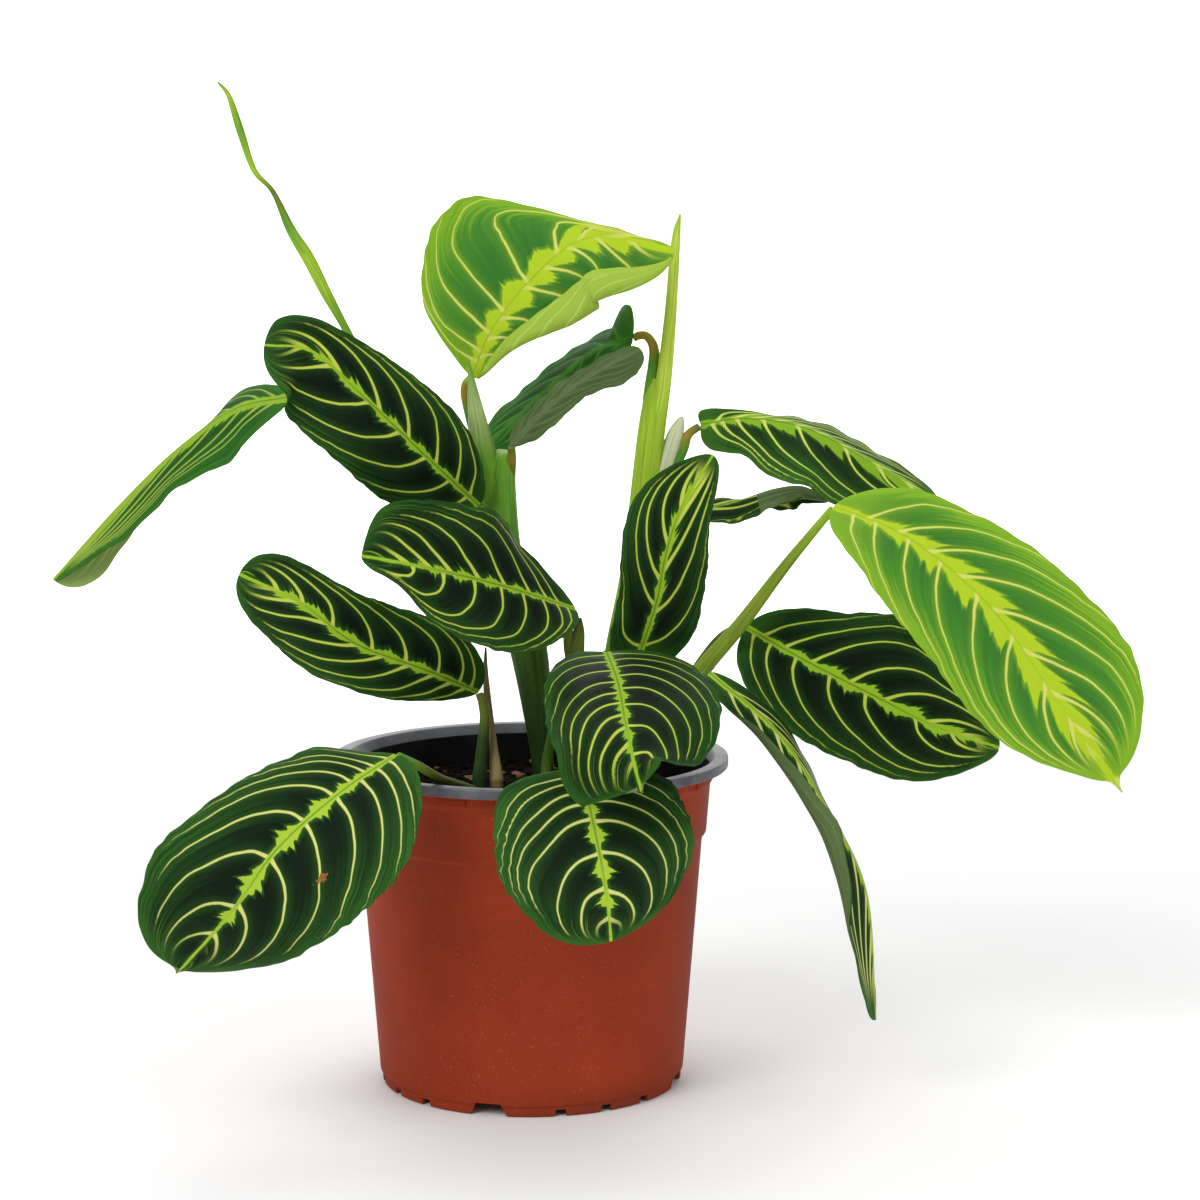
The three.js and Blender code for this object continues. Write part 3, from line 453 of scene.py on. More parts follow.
def row_at(rows, t):
    """All columns of the rows at t = 0..1, on one smooth curve through them."""
    rows = np.asarray(rows, float)
    place = np.clip(t, 0, 1) * (len(rows) - 1)
    i = np.minimum(place.astype(int), len(rows) - 2)
    w = (place - i)[:, None]
    wider = np.vstack([2 * rows[0] - rows[1], rows, 2 * rows[-1] - rows[-2]])
    before, a, b, after = wider[i], wider[i + 1], wider[i + 2], wider[i + 3]
    slope_a, slope_b = (b - before) / 2, (after - a) / 2
    cubic = 2 * a - 2 * b + slope_a + slope_b
    square = 3 * b - 3 * a - 2 * slope_a - slope_b
    return ((cubic * w + square) * w + slope_a) * w + a


def smooth_at(numbers, t):
    """The same for a single column."""
    return row_at([[number] for number in numbers], t)[:, 0]


def unit(vectors):
    return vectors / np.linalg.norm(vectors, axis=1)[:, None]


def rib_length(rib):
    """Length from the base to each of the samples of a midrib, mm."""
    curve = row_at(rib, np.linspace(0, 1, SAMPLES))[:, :3]
    return np.concatenate([[0], np.cumsum(np.linalg.norm(np.diff(curve, axis=0), axis=1))])


def row_place(rib, u):
    """The place in the rows, 0..1, of the point at a share u of the midrib's length."""
    lengths = rib_length(rib)
    return np.interp(u * lengths[-1], lengths, np.linspace(0, 1, SAMPLES))


def rounded_ends(u):
    return np.sqrt(np.clip(1 - np.abs(2 * u - 1) ** BLUNT, 0, 1))


def spread(value, u):
    """A number, or a list of numbers spread evenly from u = 0 to u = 1."""
    return np.interp(u, np.linspace(0, 1, len(value)), value) if isinstance(value, list) else value + 0 * u


def blade_places(leaf, u, v):
    """Places in mm of the points at u (base to tip) and v (-1 left edge to 1), and the half width there."""
    rib = leaf["rib"]
    t = row_place(rib, u)
    row = row_at(rib, t)
    along = unit(row_at(rib, t + 1e-3)[:, :3] - row_at(rib, t - 1e-3)[:, :3])
    turn, up = np.radians(row[:, 3]), np.radians(row[:, 4])
    face = np.stack([np.sin(turn) * np.cos(up), -np.cos(turn) * np.cos(up), np.sin(up)], -1)
    face = unit(face - (face * along).sum(1)[:, None] * along)
    side = np.cross(along, face)
    ends = rounded_ends(u)
    on_right = v > 0
    notches = [part.get("notch", (0.5, 0)) for part in leaf["halves"]]
    bays = [depth * np.exp(-(((u - at) / NOTCH_SPAN) ** 2)) for at, depth in notches]
    bay = np.where(on_right, bays[1], bays[0])
    width = np.maximum(0.5, np.where(on_right, row[:, 6], row[:, 5]) * ends * (1 - bay))
    reach = np.abs(v)
    at_base = np.clip(1 - u / EAR, 0, 1)

    def both(key):
        left, right = [spread(part.get(key, 0), u) for part in leaf["halves"]]
        return np.where(on_right, right, left)

    fold = np.radians(both("fold") + both("flap") * at_base)
    curl = np.radians(both("curl")) * np.minimum(1, width / NARROW)
    bends = [part.get("bend", (0, 1)) for part in leaf["halves"]]
    start = np.where(on_right, bends[1][0], bends[0][0])
    stop = np.where(on_right, bends[1][1], bends[0][1])
    out = np.zeros_like(u)
    rise = np.zeros_like(u)
    for i in range(STEPS):  # a walk from the midrib to the margin, turning by the fold and then by the curl
        angle = fold + curl * np.clip((reach * (i + 0.5) / STEPS - start) / (stop - start), 0, 1)
        out += np.cos(angle) * reach * width / STEPS
        rise += np.sin(angle) * reach * width / STEPS
    turns = both("count") * u
    rise += both("wave") * reach**2 * np.sin(2 * np.pi * turns) * np.minimum(1, 1.2 * ends)
    rise += RIPPLE * reach**4 * np.sin(2 * np.pi * (turns * 2.6 + 2 * on_right)) * ends
    bumps = 0.007 * np.sin(2 * np.pi * (7 * u + turns))
    bumps += 0.006 * np.sin(2 * np.pi * (11.3 * u + 2 * turns + 0.4 * on_right))
    out *= 1 + bumps * reach**3
    ear = both("ear") * reach**2 * at_base * np.minimum(1, 2 * ends)
    tip = leaf.get("tip", 0) * np.clip((u - 0.95) / 0.05, 0, 1) ** 2 * (1 - reach) ** 2
    places = row[:, :3] + side * (out * np.sign(v))[:, None] + face * rise[:, None]
    return places + along * (tip - ear)[:, None], width


def vein_number(leaf, side, u, mm):
    """How many veins of one side lie before a point at u, mm away from the midrib."""
    rows = row_at(leaf["rib"], row_place(leaf["rib"], u))
    wide = np.maximum(0.5, rows[:, 5 + side] * rounded_ends(u))
    sweep = smooth_at([0, *leaf["sweep"][side]], np.clip(mm / wide, 0, 1))
    starts = [-0.2, *leaf["veins"][side], 1.3]
    counts = np.linspace(0, len(starts) - 1, 40 * len(starts))
    return np.interp(u - (u + 0.1) * sweep, smooth_at(starts, counts / counts[-1]), counts)


def vein_lines(leaf, u, mm):
    """The vein numbers of both sides, and the distance in mm from one vein to the next, square to them."""
    numbers = [vein_number(leaf, side, u, mm) for side in (0, 1)]
    length, step = rib_length(leaf["rib"])[-1], 0.3
    ahead = [vein_number(leaf, side, u + step / length, mm) for side in (0, 1)]
    beside = [vein_number(leaf, side, u, mm + step) for side in (0, 1)]
    steep = [np.hypot(ahead[i] - numbers[i], beside[i] - numbers[i]) / step for i in (0, 1)]
    return numbers, [1 / np.maximum(s, 0.02) for s in steep]


print("longest midrib, mm:", round(max(rib_length(leaf["rib"])[-1] for leaf in LEAVES.values()), 1))

# %% [markdown]
# The pattern on the blade follows the blade, so it can't be painted by place in space. Each point keeps
# numbers in attributes: how far it is along the blade and across it, how wide the blade is there in mm, how
# many veins of its side lie before it, and how far apart they are. A node group turns them into the distance
# to the nearest vein. Whole numbers are veins, and the numbers between them say where the lobes of the bright
# midrib stripe stand. All leaves share the group, and each one gives it its own colours and stripe.

# %% The node group of a veined blade
vein_inputs = dict.fromkeys(("Place", "Numbers", "Gaps", "Mark"), "v")
vein_inputs |= dict.fromkeys(("Length", "Seed", "Band", "Lobe", "Wedge", "Hump", "Edge"), "f")
vein_inputs |= dict.fromkeys(("Deep", "Green", "Margin", "Vein", "Rib"), "c")
blade_group, enter, leave = group_of("veined_blade", vein_inputs, {"Colour": "c", "Height": "f"})
given = enter.outputs
g = blade_group


def times(*values):
    product = values[0]
    for value in values[1:]:
        product = sum_of(g, "MULTIPLY", product, value)
    return product


def plus(*values):
    total = values[0]
    for value in values[1:]:
        total = sum_of(g, "ADD", total, value)
    return total


def minus(first, second):
    return sum_of(g, "SUBTRACT", first, second)


def ramp(value, start, end):
    return ramp_between(g, value, start, end)


def mix(share, first, second):
    return blend_of(g, share, first, second)


def parts_of(vector):
    return put(g, "ShaderNodeSeparateXYZ", {0: vector}).outputs


def vector_of(x, y, z):
    return put(g, "ShaderNodeCombineXYZ", {0: x, 1: y, 2: z}).outputs[0]


along, across, wide = parts_of(given["Place"])
numbers = parts_of(given["Numbers"])
gaps = parts_of(given["Gaps"])
reach = sum_of(g, "ABSOLUTE", across)
from_rib = times(reach, wide)
right = sum_of(g, "GREATER_THAN", across, 0.0)
flat_place = vector_of(times(along, given["Length"]), times(across, wide), given["Seed"])
# slow bends the veins a little, quick and streak make every edge of the pattern uneven
slow = minus(speckle(g, flat_place, 0.09), 0.5)
quick = minus(speckle(g, flat_place, 0.7, 3.0), 0.5)
number = plus(numbers[0], times(right, minus(numbers[1], numbers[0])), times(slow, 0.14))
gap = plus(gaps[0], times(right, minus(gaps[1], gaps[0])))
between = sum_of(g, "FRACT", number)
nearness = minus(0.5, sum_of(g, "ABSOLUTE", minus(between, 0.5)))
to_vein = times(nearness, gap)
streak_place = vector_of(times(number, 9.0), times(reach, 1.1), plus(times(right, 5.0), given["Seed"]))
streak = minus(speckle(g, streak_place, 1.0, 3.0), 0.5)
print("nodes for the distance to a vein:", len(g.nodes))

# %% Veins of the blade
# A vein is widest at the midrib and thins out towards the margin, and it fades before it gets there. The
# green beside it is lighter, which the halo gives.
near_tip = ramp(along, 0.97, 0.85)
vein_half = plus(0.42, times(reach, -0.34), times(sum_of(g, "EXPONENT", times(from_rib, -0.6)), 0.35))
vein = ramp(to_vein, plus(vein_half, 0.2), minus(vein_half, 0.15))
fading = plus(reach, times(quick, 0.2), times(streak, 0.25))
fading = plus(fading, times(ramp(along, 0.6, 1.0), 0.25), times(given["Edge"], -1.2))
vein = times(vein, ramp(fading, 1.02, 0.84), near_tip, ramp(along, 0.0, 0.03))
halo = times(sum_of(g, "EXPONENT", times(to_vein, -0.9)), ramp(fading, 1.0, 0.7))

# %% Stripe on the midrib
# The stripe has a soft edge, and one lobe between each two veins. A list of stops gives the form of a lobe.
def stops_of(value, stops):
    """A number read from a list of stops: place and height."""
    node = put(g, "ShaderNodeValToRGB", {0: value})
    elements = node.color_ramp.elements
    while len(elements) < len(stops):
        elements.new(0.5)
    for element, (place, height) in zip(elements, stops.items()):
        element.position = place
        element.color = (height, height, height, 1)
    return node.outputs[0]


SPIKES = {0: 0, 0.16: 0.08, 0.3: 0.5, 0.36: 0.34, 0.47: 1, 0.54: 0.42, 0.62: 0.6, 0.72: 0.08, 1: 0}
WEDGES = {0: 0.06, 0.2: 0.28, 0.46: 0.72, 0.52: 0.55, 0.8: 1, 0.87: 0.3, 1: 0.06}
spikes, wedges = stops_of(between, SPIKES), stops_of(between, WEDGES)
humps = times(between, minus(1.0, between), 4.0)
sharp = minus(minus(1.0, given["Wedge"]), given["Hump"])
lobe = plus(times(spikes, sharp), times(wedges, given["Wedge"]), times(humps, humps, given["Hump"]))
middle = times(ramp(along, 0.0, 0.45), ramp(along, 0.96, 0.8))
lobe = times(lobe, plus(0.15, times(middle, 0.85)), given["Lobe"], plus(1.0, times(streak, plus(0.6, sharp))))
taper = plus(minus(1.3, times(along, 0.95)), times(given["Wedge"], minus(times(along, 1.1), 0.65)))
stripe = plus(times(given["Band"], taper), lobe, times(quick, 0.35), times(streak, given["Band"], 0.7))
band = ramp(from_rib, plus(stripe, 0.25), minus(stripe, 0.15))
rib_line = times(ramp(from_rib, 0.4, 0.14), ramp(along, 0.9, 0.5))

# %% Green of the blade
# The green goes from deep in the middle to pale at the margin, broken up by streaks that run with the veins.
MARK_FORM = (0.6, 1.3, 0)  # a dry spot is longer than it is wide, and its depth doesn't count

grain = minus(speckle(g, flat_place, 4.0, 3.0), 0.5)
outer = plus(sum_of(g, "POWER", reach, 1.5), times(streak, plus(0.25, times(reach, 1.5))))
outer = plus(outer, times(grain, 0.35), times(ramp(along, 0.86, 1.0), 0.45), given["Edge"])
green = mix(ramp(outer, 0.15, 0.85), given["Deep"], given["Green"])
green = mix(times(halo, 0.6), green, given["Margin"])
green = mix(times(ramp(outer, 0.66, 1.1), 0.8), green, given["Margin"])
at_base = ramp(plus(along, times(streak, given["Edge"])), plus(0.13, times(given["Edge"], 0.6)), 0.02)
green = mix(times(at_base, 0.7), green, given["Margin"])
feather = ramp(from_rib, plus(stripe, 1.8, times(streak, 3.0)), stripe)
green = mix(times(feather, 0.6), green, given["Margin"])
tip_lines = times(ramp(streak, 0.1, 0.22), ramp(along, 0.82, 0.93), ramp(reach, 1.0, 0.8))
green = mix(times(tip_lines, 0.6), green, given["Rib"])
painted = mix(band, green, given["Rib"])
over_band = minus(1.0, times(band, sharp))
painted = mix(times(vein, over_band), painted, given["Vein"])
painted = mix(times(rib_line, 0.55), painted, given["Margin"])
to_mark = put(g, "ShaderNodeVectorMath", {0: flat_place, 1: given["Mark"]}, operation="SUBTRACT").outputs[0]
to_mark = put(g, "ShaderNodeVectorMath", {0: to_mark, 1: MARK_FORM}, operation="MULTIPLY").outputs[0]
to_mark = put(g, "ShaderNodeVectorMath", {0: to_mark}, operation="LENGTH").outputs["Value"]
mark = ramp(plus(to_mark, times(quick, 6.0)), 1.4, 1.1)
painted = mix(mark, painted, colour("8a5a2a"))
rounded = times(ramp(to_vein, 0.0, 3.0), ramp(reach, 1.0, 0.6))
height = plus(rounded, times(rib_line, -0.5), times(streak, 0.12), times(grain, 0.1))
g.links.new(painted, leave.inputs["Colour"])
g.links.new(height, leave.inputs["Height"])
print("nodes of the veined blade:", len(g.nodes))


# %% Materials of the leaves
def blade_finish(name, leaf, look, seed, roughness, specular):
    """The finish of one face of one blade, with that leaf's own veins and colours."""
    material, tree, shader = finish_of(name, roughness, specular)
    layers = {"Place": "blade", "Numbers": "vein_numbers", "Gaps": "vein_gaps"}
    values = {key: stored(tree, layer) for key, layer in layers.items()}
    values |= {key.capitalize(): float(leaf.get(key, 0)) for key in ("band", "lobe", "wedge", "hump", "edge")}
    values |= {key.capitalize(): colour(code) for key, code in look.items()}
    values |= {"Length": float(rib_length(leaf["rib"])[-1]), "Seed": float(seed)}
    values["Mark"] = leaf.get("mark", (-99, 0, 0))  # -99 puts it off the blade
    pattern = put(tree, "ShaderNodeGroup", values, node_tree=blade_group).outputs
    paint(tree, shader, pattern["Colour"], pattern["Height"], 0.4, 0.0006)
    return material


# %% Blades
GRID_ALONG, GRID_ACROSS = 112, 64
BLADE_THICK = 0.5  # mm
SEED_STEP = 3.7  # how far apart the noise of two leaves is taken


def store(mesh, name, values):
    """Keeps three numbers for each point of a mesh under a name."""
    layer = mesh.attributes.new(name, "FLOAT_VECTOR", "POINT")
    layer.data.foreach_set("vector", np.asarray(values, np.float32).ravel())


def grid_of(name, along, around):
    """A flat grid to be shaped, and each point's share along it and across it, from 0 to 1."""
    deselect()
    bpy.ops.mesh.primitive_grid_add(x_subdivisions=along, y_subdivisions=around, size=1)
    piece = last_made(name)
    flat = np.empty(len(piece.data.vertices) * 3)
    piece.data.vertices.foreach_get("co", flat)
    flat = flat.reshape(-1, 3)
    return piece, flat[:, 0] + 0.5, flat[:, 1] + 0.5


def place_points(piece, places_mm):
    places = np.asarray(places_mm) * MM + np.array(AXIS)
    piece.data.vertices.foreach_set("co", places.ravel())
    piece.data.update()


def dress(piece, node, stands_for=True):
    """Says which body the piece moves with, and hides the solid it stands for."""
    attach(piece, "root")
    if stands_for:
        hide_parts(node)


for seed, (node, leaf) in enumerate(LEAVES.items()):
    blade, along_share, across_share = grid_of(node + "_blade", GRID_ALONG, GRID_ACROSS)
    u = (1 - np.cos(np.pi * along_share)) / 2
    v = 1 - 2 * across_share
    places, widths = blade_places(leaf, u, v)
    place_points(blade, places)
    store(blade.data, "blade", np.stack([u, v, widths], -1))
    numbers_of, gaps_of = vein_lines(leaf, u, np.abs(v) * widths)
    store(blade.data, "vein_numbers", np.stack([*numbers_of, u], -1))
    store(blade.data, "vein_gaps", np.stack([*gaps_of, u], -1))
    for side, look, roughness in (("_face", leaf["look"], 0.6), ("_underside", leaf["under"], 0.7)):
        finish = blade_finish(node + side, leaf, look, seed * SEED_STEP, roughness, 0.06)
        blade.data.materials.append(finish)
    solid = blade.modifiers.new("thickness", "SOLIDIFY")
    solid.thickness = BLADE_THICK * MM
    solid.offset = 0
    solid.material_offset = 1
    bpy.ops.object.modifier_apply(modifier=solid.name)
    if "turned" in leaf:
        shares = [point.vector[0] for point in blade.data.attributes["blade"].data]
        for face in blade.data.polygons:
            if min(shares[i] for i in face.vertices) > leaf["turned"]:
                face.material_index = 1 - face.material_index
    bpy.ops.object.shade_smooth_by_angle(angle=math.radians(50))
    dress(blade, node)
print("blades:", len(LEAVES), "faces each:", len(blade.data.polygons))

# %% [markdown]
# ## Shoots and leaf stalks
# A shoot is a bundle of leaf stalks that wrap round each other at their feet, and each one ends in a short
# swollen joint under its blade. A tube with its own radius at each row gives that form. The tubes of a shoot
# are one grown piece, so they are joined. Their colour changes from the foot to the tip, which an attribute
# carries; the dark tints low on a stalk are painted shade, where it stands down in the pot. Fine streaks run
# along them, which need the length along the stalk and the way round it.

# %% Table of the stems
# foot and dark are painted shade: the low parts of the stems, down in the pot, are painted darker to stand for
# the shade there.
TINTS = {
    "foot": "223917", "dark": "2f4c1b", "deep": "426624", "mid": "467426", "green": "4f8628",
    "fresh": "66992b", "lime": "96b72f", "bright": "b4cc48", "pale": "aabd7c", "papery": "c3c8a4",
    "olive": "5f6e26", "moss": "7c922b", "amber": "96812a", "tan": "84714a", "straw": "a48e62",
    "bark": "51472d",
}


def branch(tints, leaf, *rows):
    """A branch: its tints from foot to tip, the leaf it carries if any, and its rows of x, y, z and radius.
    A first row of three numbers is its foot in the soil: x, y and radius."""
    return {"tints": tints.split(), "leaf": leaf, "rows": rows}


# The tints foot and dark low on a branch are painted shade for the stem down in the pot.
STEMS = {
    "shoot_left": [
        branch("foot foot dark dark deep green fresh fresh pale", None, (3.2, 20, 3.4), (2.2, 20, 103, 3.9),
               (-1.1, 20, 129, 5.8), (-8.4, 20, 157, 5.7), (-10, 20, 178, 5.2), (-9, 20, 188.5, 4.1),
               (-8.8, 20, 191.2, 1.6)),
        branch("fresh fresh pale fresh", None, (-10.8, 20, 174, 4.6), (-14.6, 18.5, 190, 3.9),
               (-17, 13, 205, 2.3), (-18.6, 8.5, 218.5, 0.3)),
        branch("green green amber amber lime", "leaf_top", (-14.6, 18.5, 190, 3), (-18.6, 17, 203, 2),
               (-20.2, 16, 208.5, 1.4), (-19.9, 15.3, 211.5, 1.3)),
        branch("green olive amber olive", "leaf_under_back", (-9, 20, 176, 2), (-6.6, 18.5, 184.5, 1.6),
               (-6, 16.5, 188.5, 1.4)),
        branch("green olive green", "leaf_upper_left", (-10, 20, 164, 1.8), (-13, 15, 171, 1.5)),
        branch("green fresh fresh fresh fresh lime", "leaf_far_left", (-8, 20, 160, 1.6), (-20, 18.5, 170, 1.5),
               (-31, 18, 179, 1.4), (-48, 15, 193, 1.3), (-64, 10, 204, 1.2)),
        branch("green fresh fresh fresh lime lime fresh olive lime fresh lime fresh", None, (-6, 20, 150, 1.5),
               (-27, 12, 178, 1.4), (-42.6, 8, 203.5, 1.3), (-55, 6, 227.7, 1.2), (-61.5, 5, 240, 1.7),
               (-66.5, 5, 250, 1.9), (-71.5, 5, 258.2, 1.5), (-76.7, 5, 269.5, 0.8), (-82.3, 5, 276, 0.9),
               (-86.3, 5, 287.8, 1.2), (-89.5, 5, 297.8, 0.8), (-92.7, 5, 301.9, 0.3)),
    ],
    "shoot_tall": [
        branch("foot foot dark mid fresh lime lime lime", None, (21.5, 20, 4.3), (23, 20, 100, 4.4),
               (27, 20, 128, 4.6), (32.4, 19, 157, 4.6), (36.6, 18, 200, 3.6), (38.4, 18.3, 213, 1.6)),
        branch("lime lime bright bright bright lime", None, (36.6, 17.8, 184, 3), (38.4, 17.5, 200, 2.9),
               (40.5, 17, 213, 2.4), (42.4, 17, 232, 1.9), (44, 17, 255, 1.4), (45.3, 17, 263, 0.3)),
        branch("fresh fresh green amber amber amber olive", "leaf_behind_top", (35.2, 18.5, 186, 2.6),
               (36.2, 19, 206, 2.2), (37.4, 19.5, 217, 1.8), (37.4, 20.5, 222.5, 1.5), (35.4, 22, 225.8, 1.3),
               (33, 23, 226, 1.3)),
        branch("lime green green amber olive", "leaf_upper_right", (35.5, 18.5, 172, 2.4), (41, 18.8, 182, 2.4),
               (45.8, 19, 191, 2.1), (48, 18.8, 195.8, 1.4)),
        branch("pale papery papery papery", None, (36.5, 18.2, 174, 2.4), (40.6, 18.5, 185, 2.8),
               (43.7, 19, 194.7, 2.6), (45.4, 19.2, 199.3, 1.6), (46.2, 19.2, 201.4, 0.5)),
        branch("dark dark olive green", "leaf_upright", (25.5, 20, 114, 2), (28, 15.5, 119.5, 1.6),
               (31, 10, 125, 1.4)),
        branch("mid mid olive olive", "leaf_small_back", (31.5, 19.5, 155, 1.8), (36, 24, 160, 1.5),
               (43, 29.5, 167, 1.3)),
    ],
    "shoot_right": [
        branch("foot dark mid fresh moss moss moss lime", "leaf_big_right", (30.5, 11.5, 2.9),
               (34, 12, 99, 2.9), (51.7, 10, 123.6, 2.7), (63.7, 6, 138.7, 2.3), (77, 1, 157.4, 1.7)),
        branch("mid green olive amber olive", "leaf_right_back", (46, 12, 115, 2.2), (50.8, 14, 123.5, 1.9),
               (57, 15.8, 132, 1.6), (61.5, 16.8, 135.6, 1.3)),
        branch("mid green green", "leaf_hanging_right", (45.5, 11, 115, 2), (50, 3, 121.5, 1.6)),
    ],
    "shoot_middle": [
        branch("foot dark deep mid olive olive bark", None, (12.9, 4, 3), (12.8, 3, 116, 3),
               (13.5, 1, 131, 2.8), (14.6, 0, 137.5, 1.8), (15, 0, 141.7, 0.5)),
        branch("deep olive olive amber olive", "leaf_left_front", (13, 1.5, 126, 2), (11.6, 0.5, 133, 1.7),
               (11.4, -0.5, 139, 1.4), (12, -1.2, 142, 1.3)),
    ],
    "stalk_left_middle": [
        branch("foot foot foot dark dark olive olive olive", "leaf_left_middle", (-15.6, -3, 2.2),
               (-15.2, -3, 98, 1.9), (-14.4, -2.8, 105, 1.7), (-14, -1.6, 111.5, 1.5), (-14.7, -0.2, 116, 1.4)),
    ],
    "stalk_low_left": [
        branch("olive olive olive olive fresh", "leaf_low_left", (-16.5, -25, 1.5), (-19, -30, 95.5, 1.4),
               (-25, -44, 100.5, 1.3), (-31, -53, 106, 1.3)),
    ],
    "stalk_low_front": [
        branch("foot dark deep mid", "leaf_low_front", (13, -25, 1.5), (13.8, -31, 98, 1.4),
               (15.3, -46, 106.5, 1.3), (15.8, -53, 107, 1.3)),
    ],
    "stalk_centre": [
        branch("olive olive mid mid green", "leaf_centre", (4.4, 3, 1.5), (5, 2, 99, 1.5), (8, -3, 111, 1.4),
               (15, -10, 124, 1.3), (21.5, -16, 131, 1.3)),
    ],
    "dry_stem": [
        branch("bark tan straw tan tan bark", None, (-10.6, 0, 2.1), (-11.6, 2, 103, 1.2), (-13.2, 6, 114, 1.2),
               (-14.1, 10, 124, 0.8), (-14.1, 12, 131, 0.3)),
    ],
}
print("stems:", len(STEMS), "branches:", sum(len(branches) for branches in STEMS.values()))

# %% Finish of the stems
GRAIN = (0.035, 2.2, 2.2)  # a streak is long and narrow: scale along the stalk and round it
stem_group, enter, leave = group_of(
    "streaked_stalk", {"Tint": "c", "Around": "v"}, {"Colour": "c", "Height": "f"}
)
tree, tint = stem_group, enter.outputs["Tint"]
stretched = put(tree, "ShaderNodeMapping", {0: enter.outputs["Around"], 3: GRAIN}).outputs[0]
fibres = speckle(tree, stretched, 2.6, 4.0)
patches = speckle(tree, stretched, 0.9)
lighter, darker = [
    put(tree, "ShaderNodeHueSaturation", {"Value": value, "Color": tint}).outputs[0] for value in (1.3, 0.66)
]
streaked = toned(tree, fibres, 0.35, 0.75, darker, lighter)
streaked = toned(tree, patches, 0.3, 0.7, streaked, tint)
tree.links.new(streaked, leave.inputs["Colour"])
tree.links.new(fibres, leave.inputs["Height"])

stem_finish, tree, shader = finish_of("stem_skin", 0.55, 0.15)
values = {"Tint": stored(tree, "tint", "Color"), "Around": stored(tree, "stalk")}
streaks = put(tree, "ShaderNodeGroup", values, node_tree=stem_group).outputs
paint(tree, shader, streaks["Colour"], streaks["Height"], 0.35, 0.0003)
print("stem tints:", len(TINTS))


# %% Stems
SOIL_TOP = 88  # height of the soil at the wall, mm
ROOTED = 12  # how deep a stem stands in the soil, mm
UPRIGHT = 2.5  # step by which a stem first rises straight, mm
STALK_END, STALK_TIP = 0.75, 1.2  # how near a stalk comes to its midrib, and its radius there, mm
STEM_SIDES, STEM_STEPS = 32, 10


def branch_rows(stalk):
    """The rows of a branch, with those by which it stands in the soil or meets its leaf."""
    rows = list(stalk["rows"])
    if len(rows[0]) == 3:
        x, y, radius = rows[0]
        rows[:1] = [[x, y, SOIL_TOP + rise, radius] for rise in (-ROOTED, UPRIGHT, 2 * UPRIGHT)]
    if stalk["leaf"]:
        base = np.array(LEAVES[stalk["leaf"]]["rib"][0][:3], float)
        back = np.array(rows[-1][:3]) - base
        end = base + back * STALK_END / np.linalg.norm(back)
        rows.append([*end, STALK_TIP])
    return rows


def branch_tube(name, rows, tints):
    """A closed tube along the rows, with the colours from its foot to its tip; the dark ones at the foot are
    painted shade.
    """
    tube, t, turn = grid_of(name, STEM_STEPS * (len(rows) - 1), STEM_SIDES)
    row = row_at(rows, t)
    along = unit(row_at(rows, t + 1e-3)[:, :3] - row_at(rows, t - 1e-3)[:, :3])
    right = unit(np.cross(np.tile([0.0, 1.0, 0.0], (len(t), 1)), along))
    back = np.cross(along, right)
    angle = -2 * np.pi * turn
    radius = np.maximum(0.2, row[:, 3])
    cos, sin = np.cos(angle)[:, None], np.sin(angle)[:, None]
    place_points(tube, row[:, :3] + (right * cos + back * sin) * radius[:, None])
    length = rib_length(rows)[-1]
    store(tube.data, "stalk", np.hstack([(t * length)[:, None], cos, sin]))
    # the foot and dark tints at the low end of a stalk are painted shade
    hues = np.array([colour(TINTS[tint]) for tint in tints])
    spots = np.linspace(0, 1, len(hues))
    painted = np.stack([np.interp(t, spots, hues[:, k]) for k in range(4)], -1)
    layer = tube.data.attributes.new("tint", "FLOAT_COLOR", "POINT")
    layer.data.foreach_set("color", painted.astype(np.float32).ravel())
    edit()
    bpy.ops.mesh.remove_doubles(threshold=1e-5)
    bpy.ops.mesh.fill_holes(sides=0)
    leave_edit()
    return tube


def join_all(pieces, name):
    deselect()
    for piece in pieces:
        piece.select_set(True)
    bpy.context.view_layer.objects.active = pieces[0]
    if len(pieces) > 1:
        bpy.ops.object.join()
    return last_made(name)


for node, branches in STEMS.items():
    tubes = [branch_tube("branch", branch_rows(stalk), stalk["tints"]) for stalk in branches]
    whole = join_all(tubes, node + "_skin")
    whole.data.materials.clear()
    whole.data.materials.append(stem_finish)
    bpy.ops.object.shade_smooth_by_angle(angle=math.radians(50))
    dress(whole, node)
print("stem pieces:", len(STEMS))

# %% [markdown]
# ## The pot
# The pot is a thin plastic nursery pot, pressed in two layers: terracotta red outside and black inside. A
# turned part like this is one profile spun round an axis. The profile is a ring of points whose corners are
# bevelled before the spin, so every edge of the pot catches the light. The notches of the foot and the drain
# holes are cut with a boolean, because they are plain pieces taken out of it.

# %% Profile of the pot
POT_HEIGHT, RIM_RADIUS, RIM_MOUTH, RIM_THICK = 100, 60, 56, 3
COLLAR_RADIUS, COLLAR_FOOT, COLLAR_STEP = 55.6, 77, 1.2
BODY_TOP, BODY_FOOT, WALL = 52.2, 45.8, 1.3
FLOOR_LOW, FLOOR_HIGH = 5, 6.6


def inner_radius(z):
    return BODY_FOOT + (BODY_TOP - BODY_FOOT) * z / COLLAR_FOOT - WALL


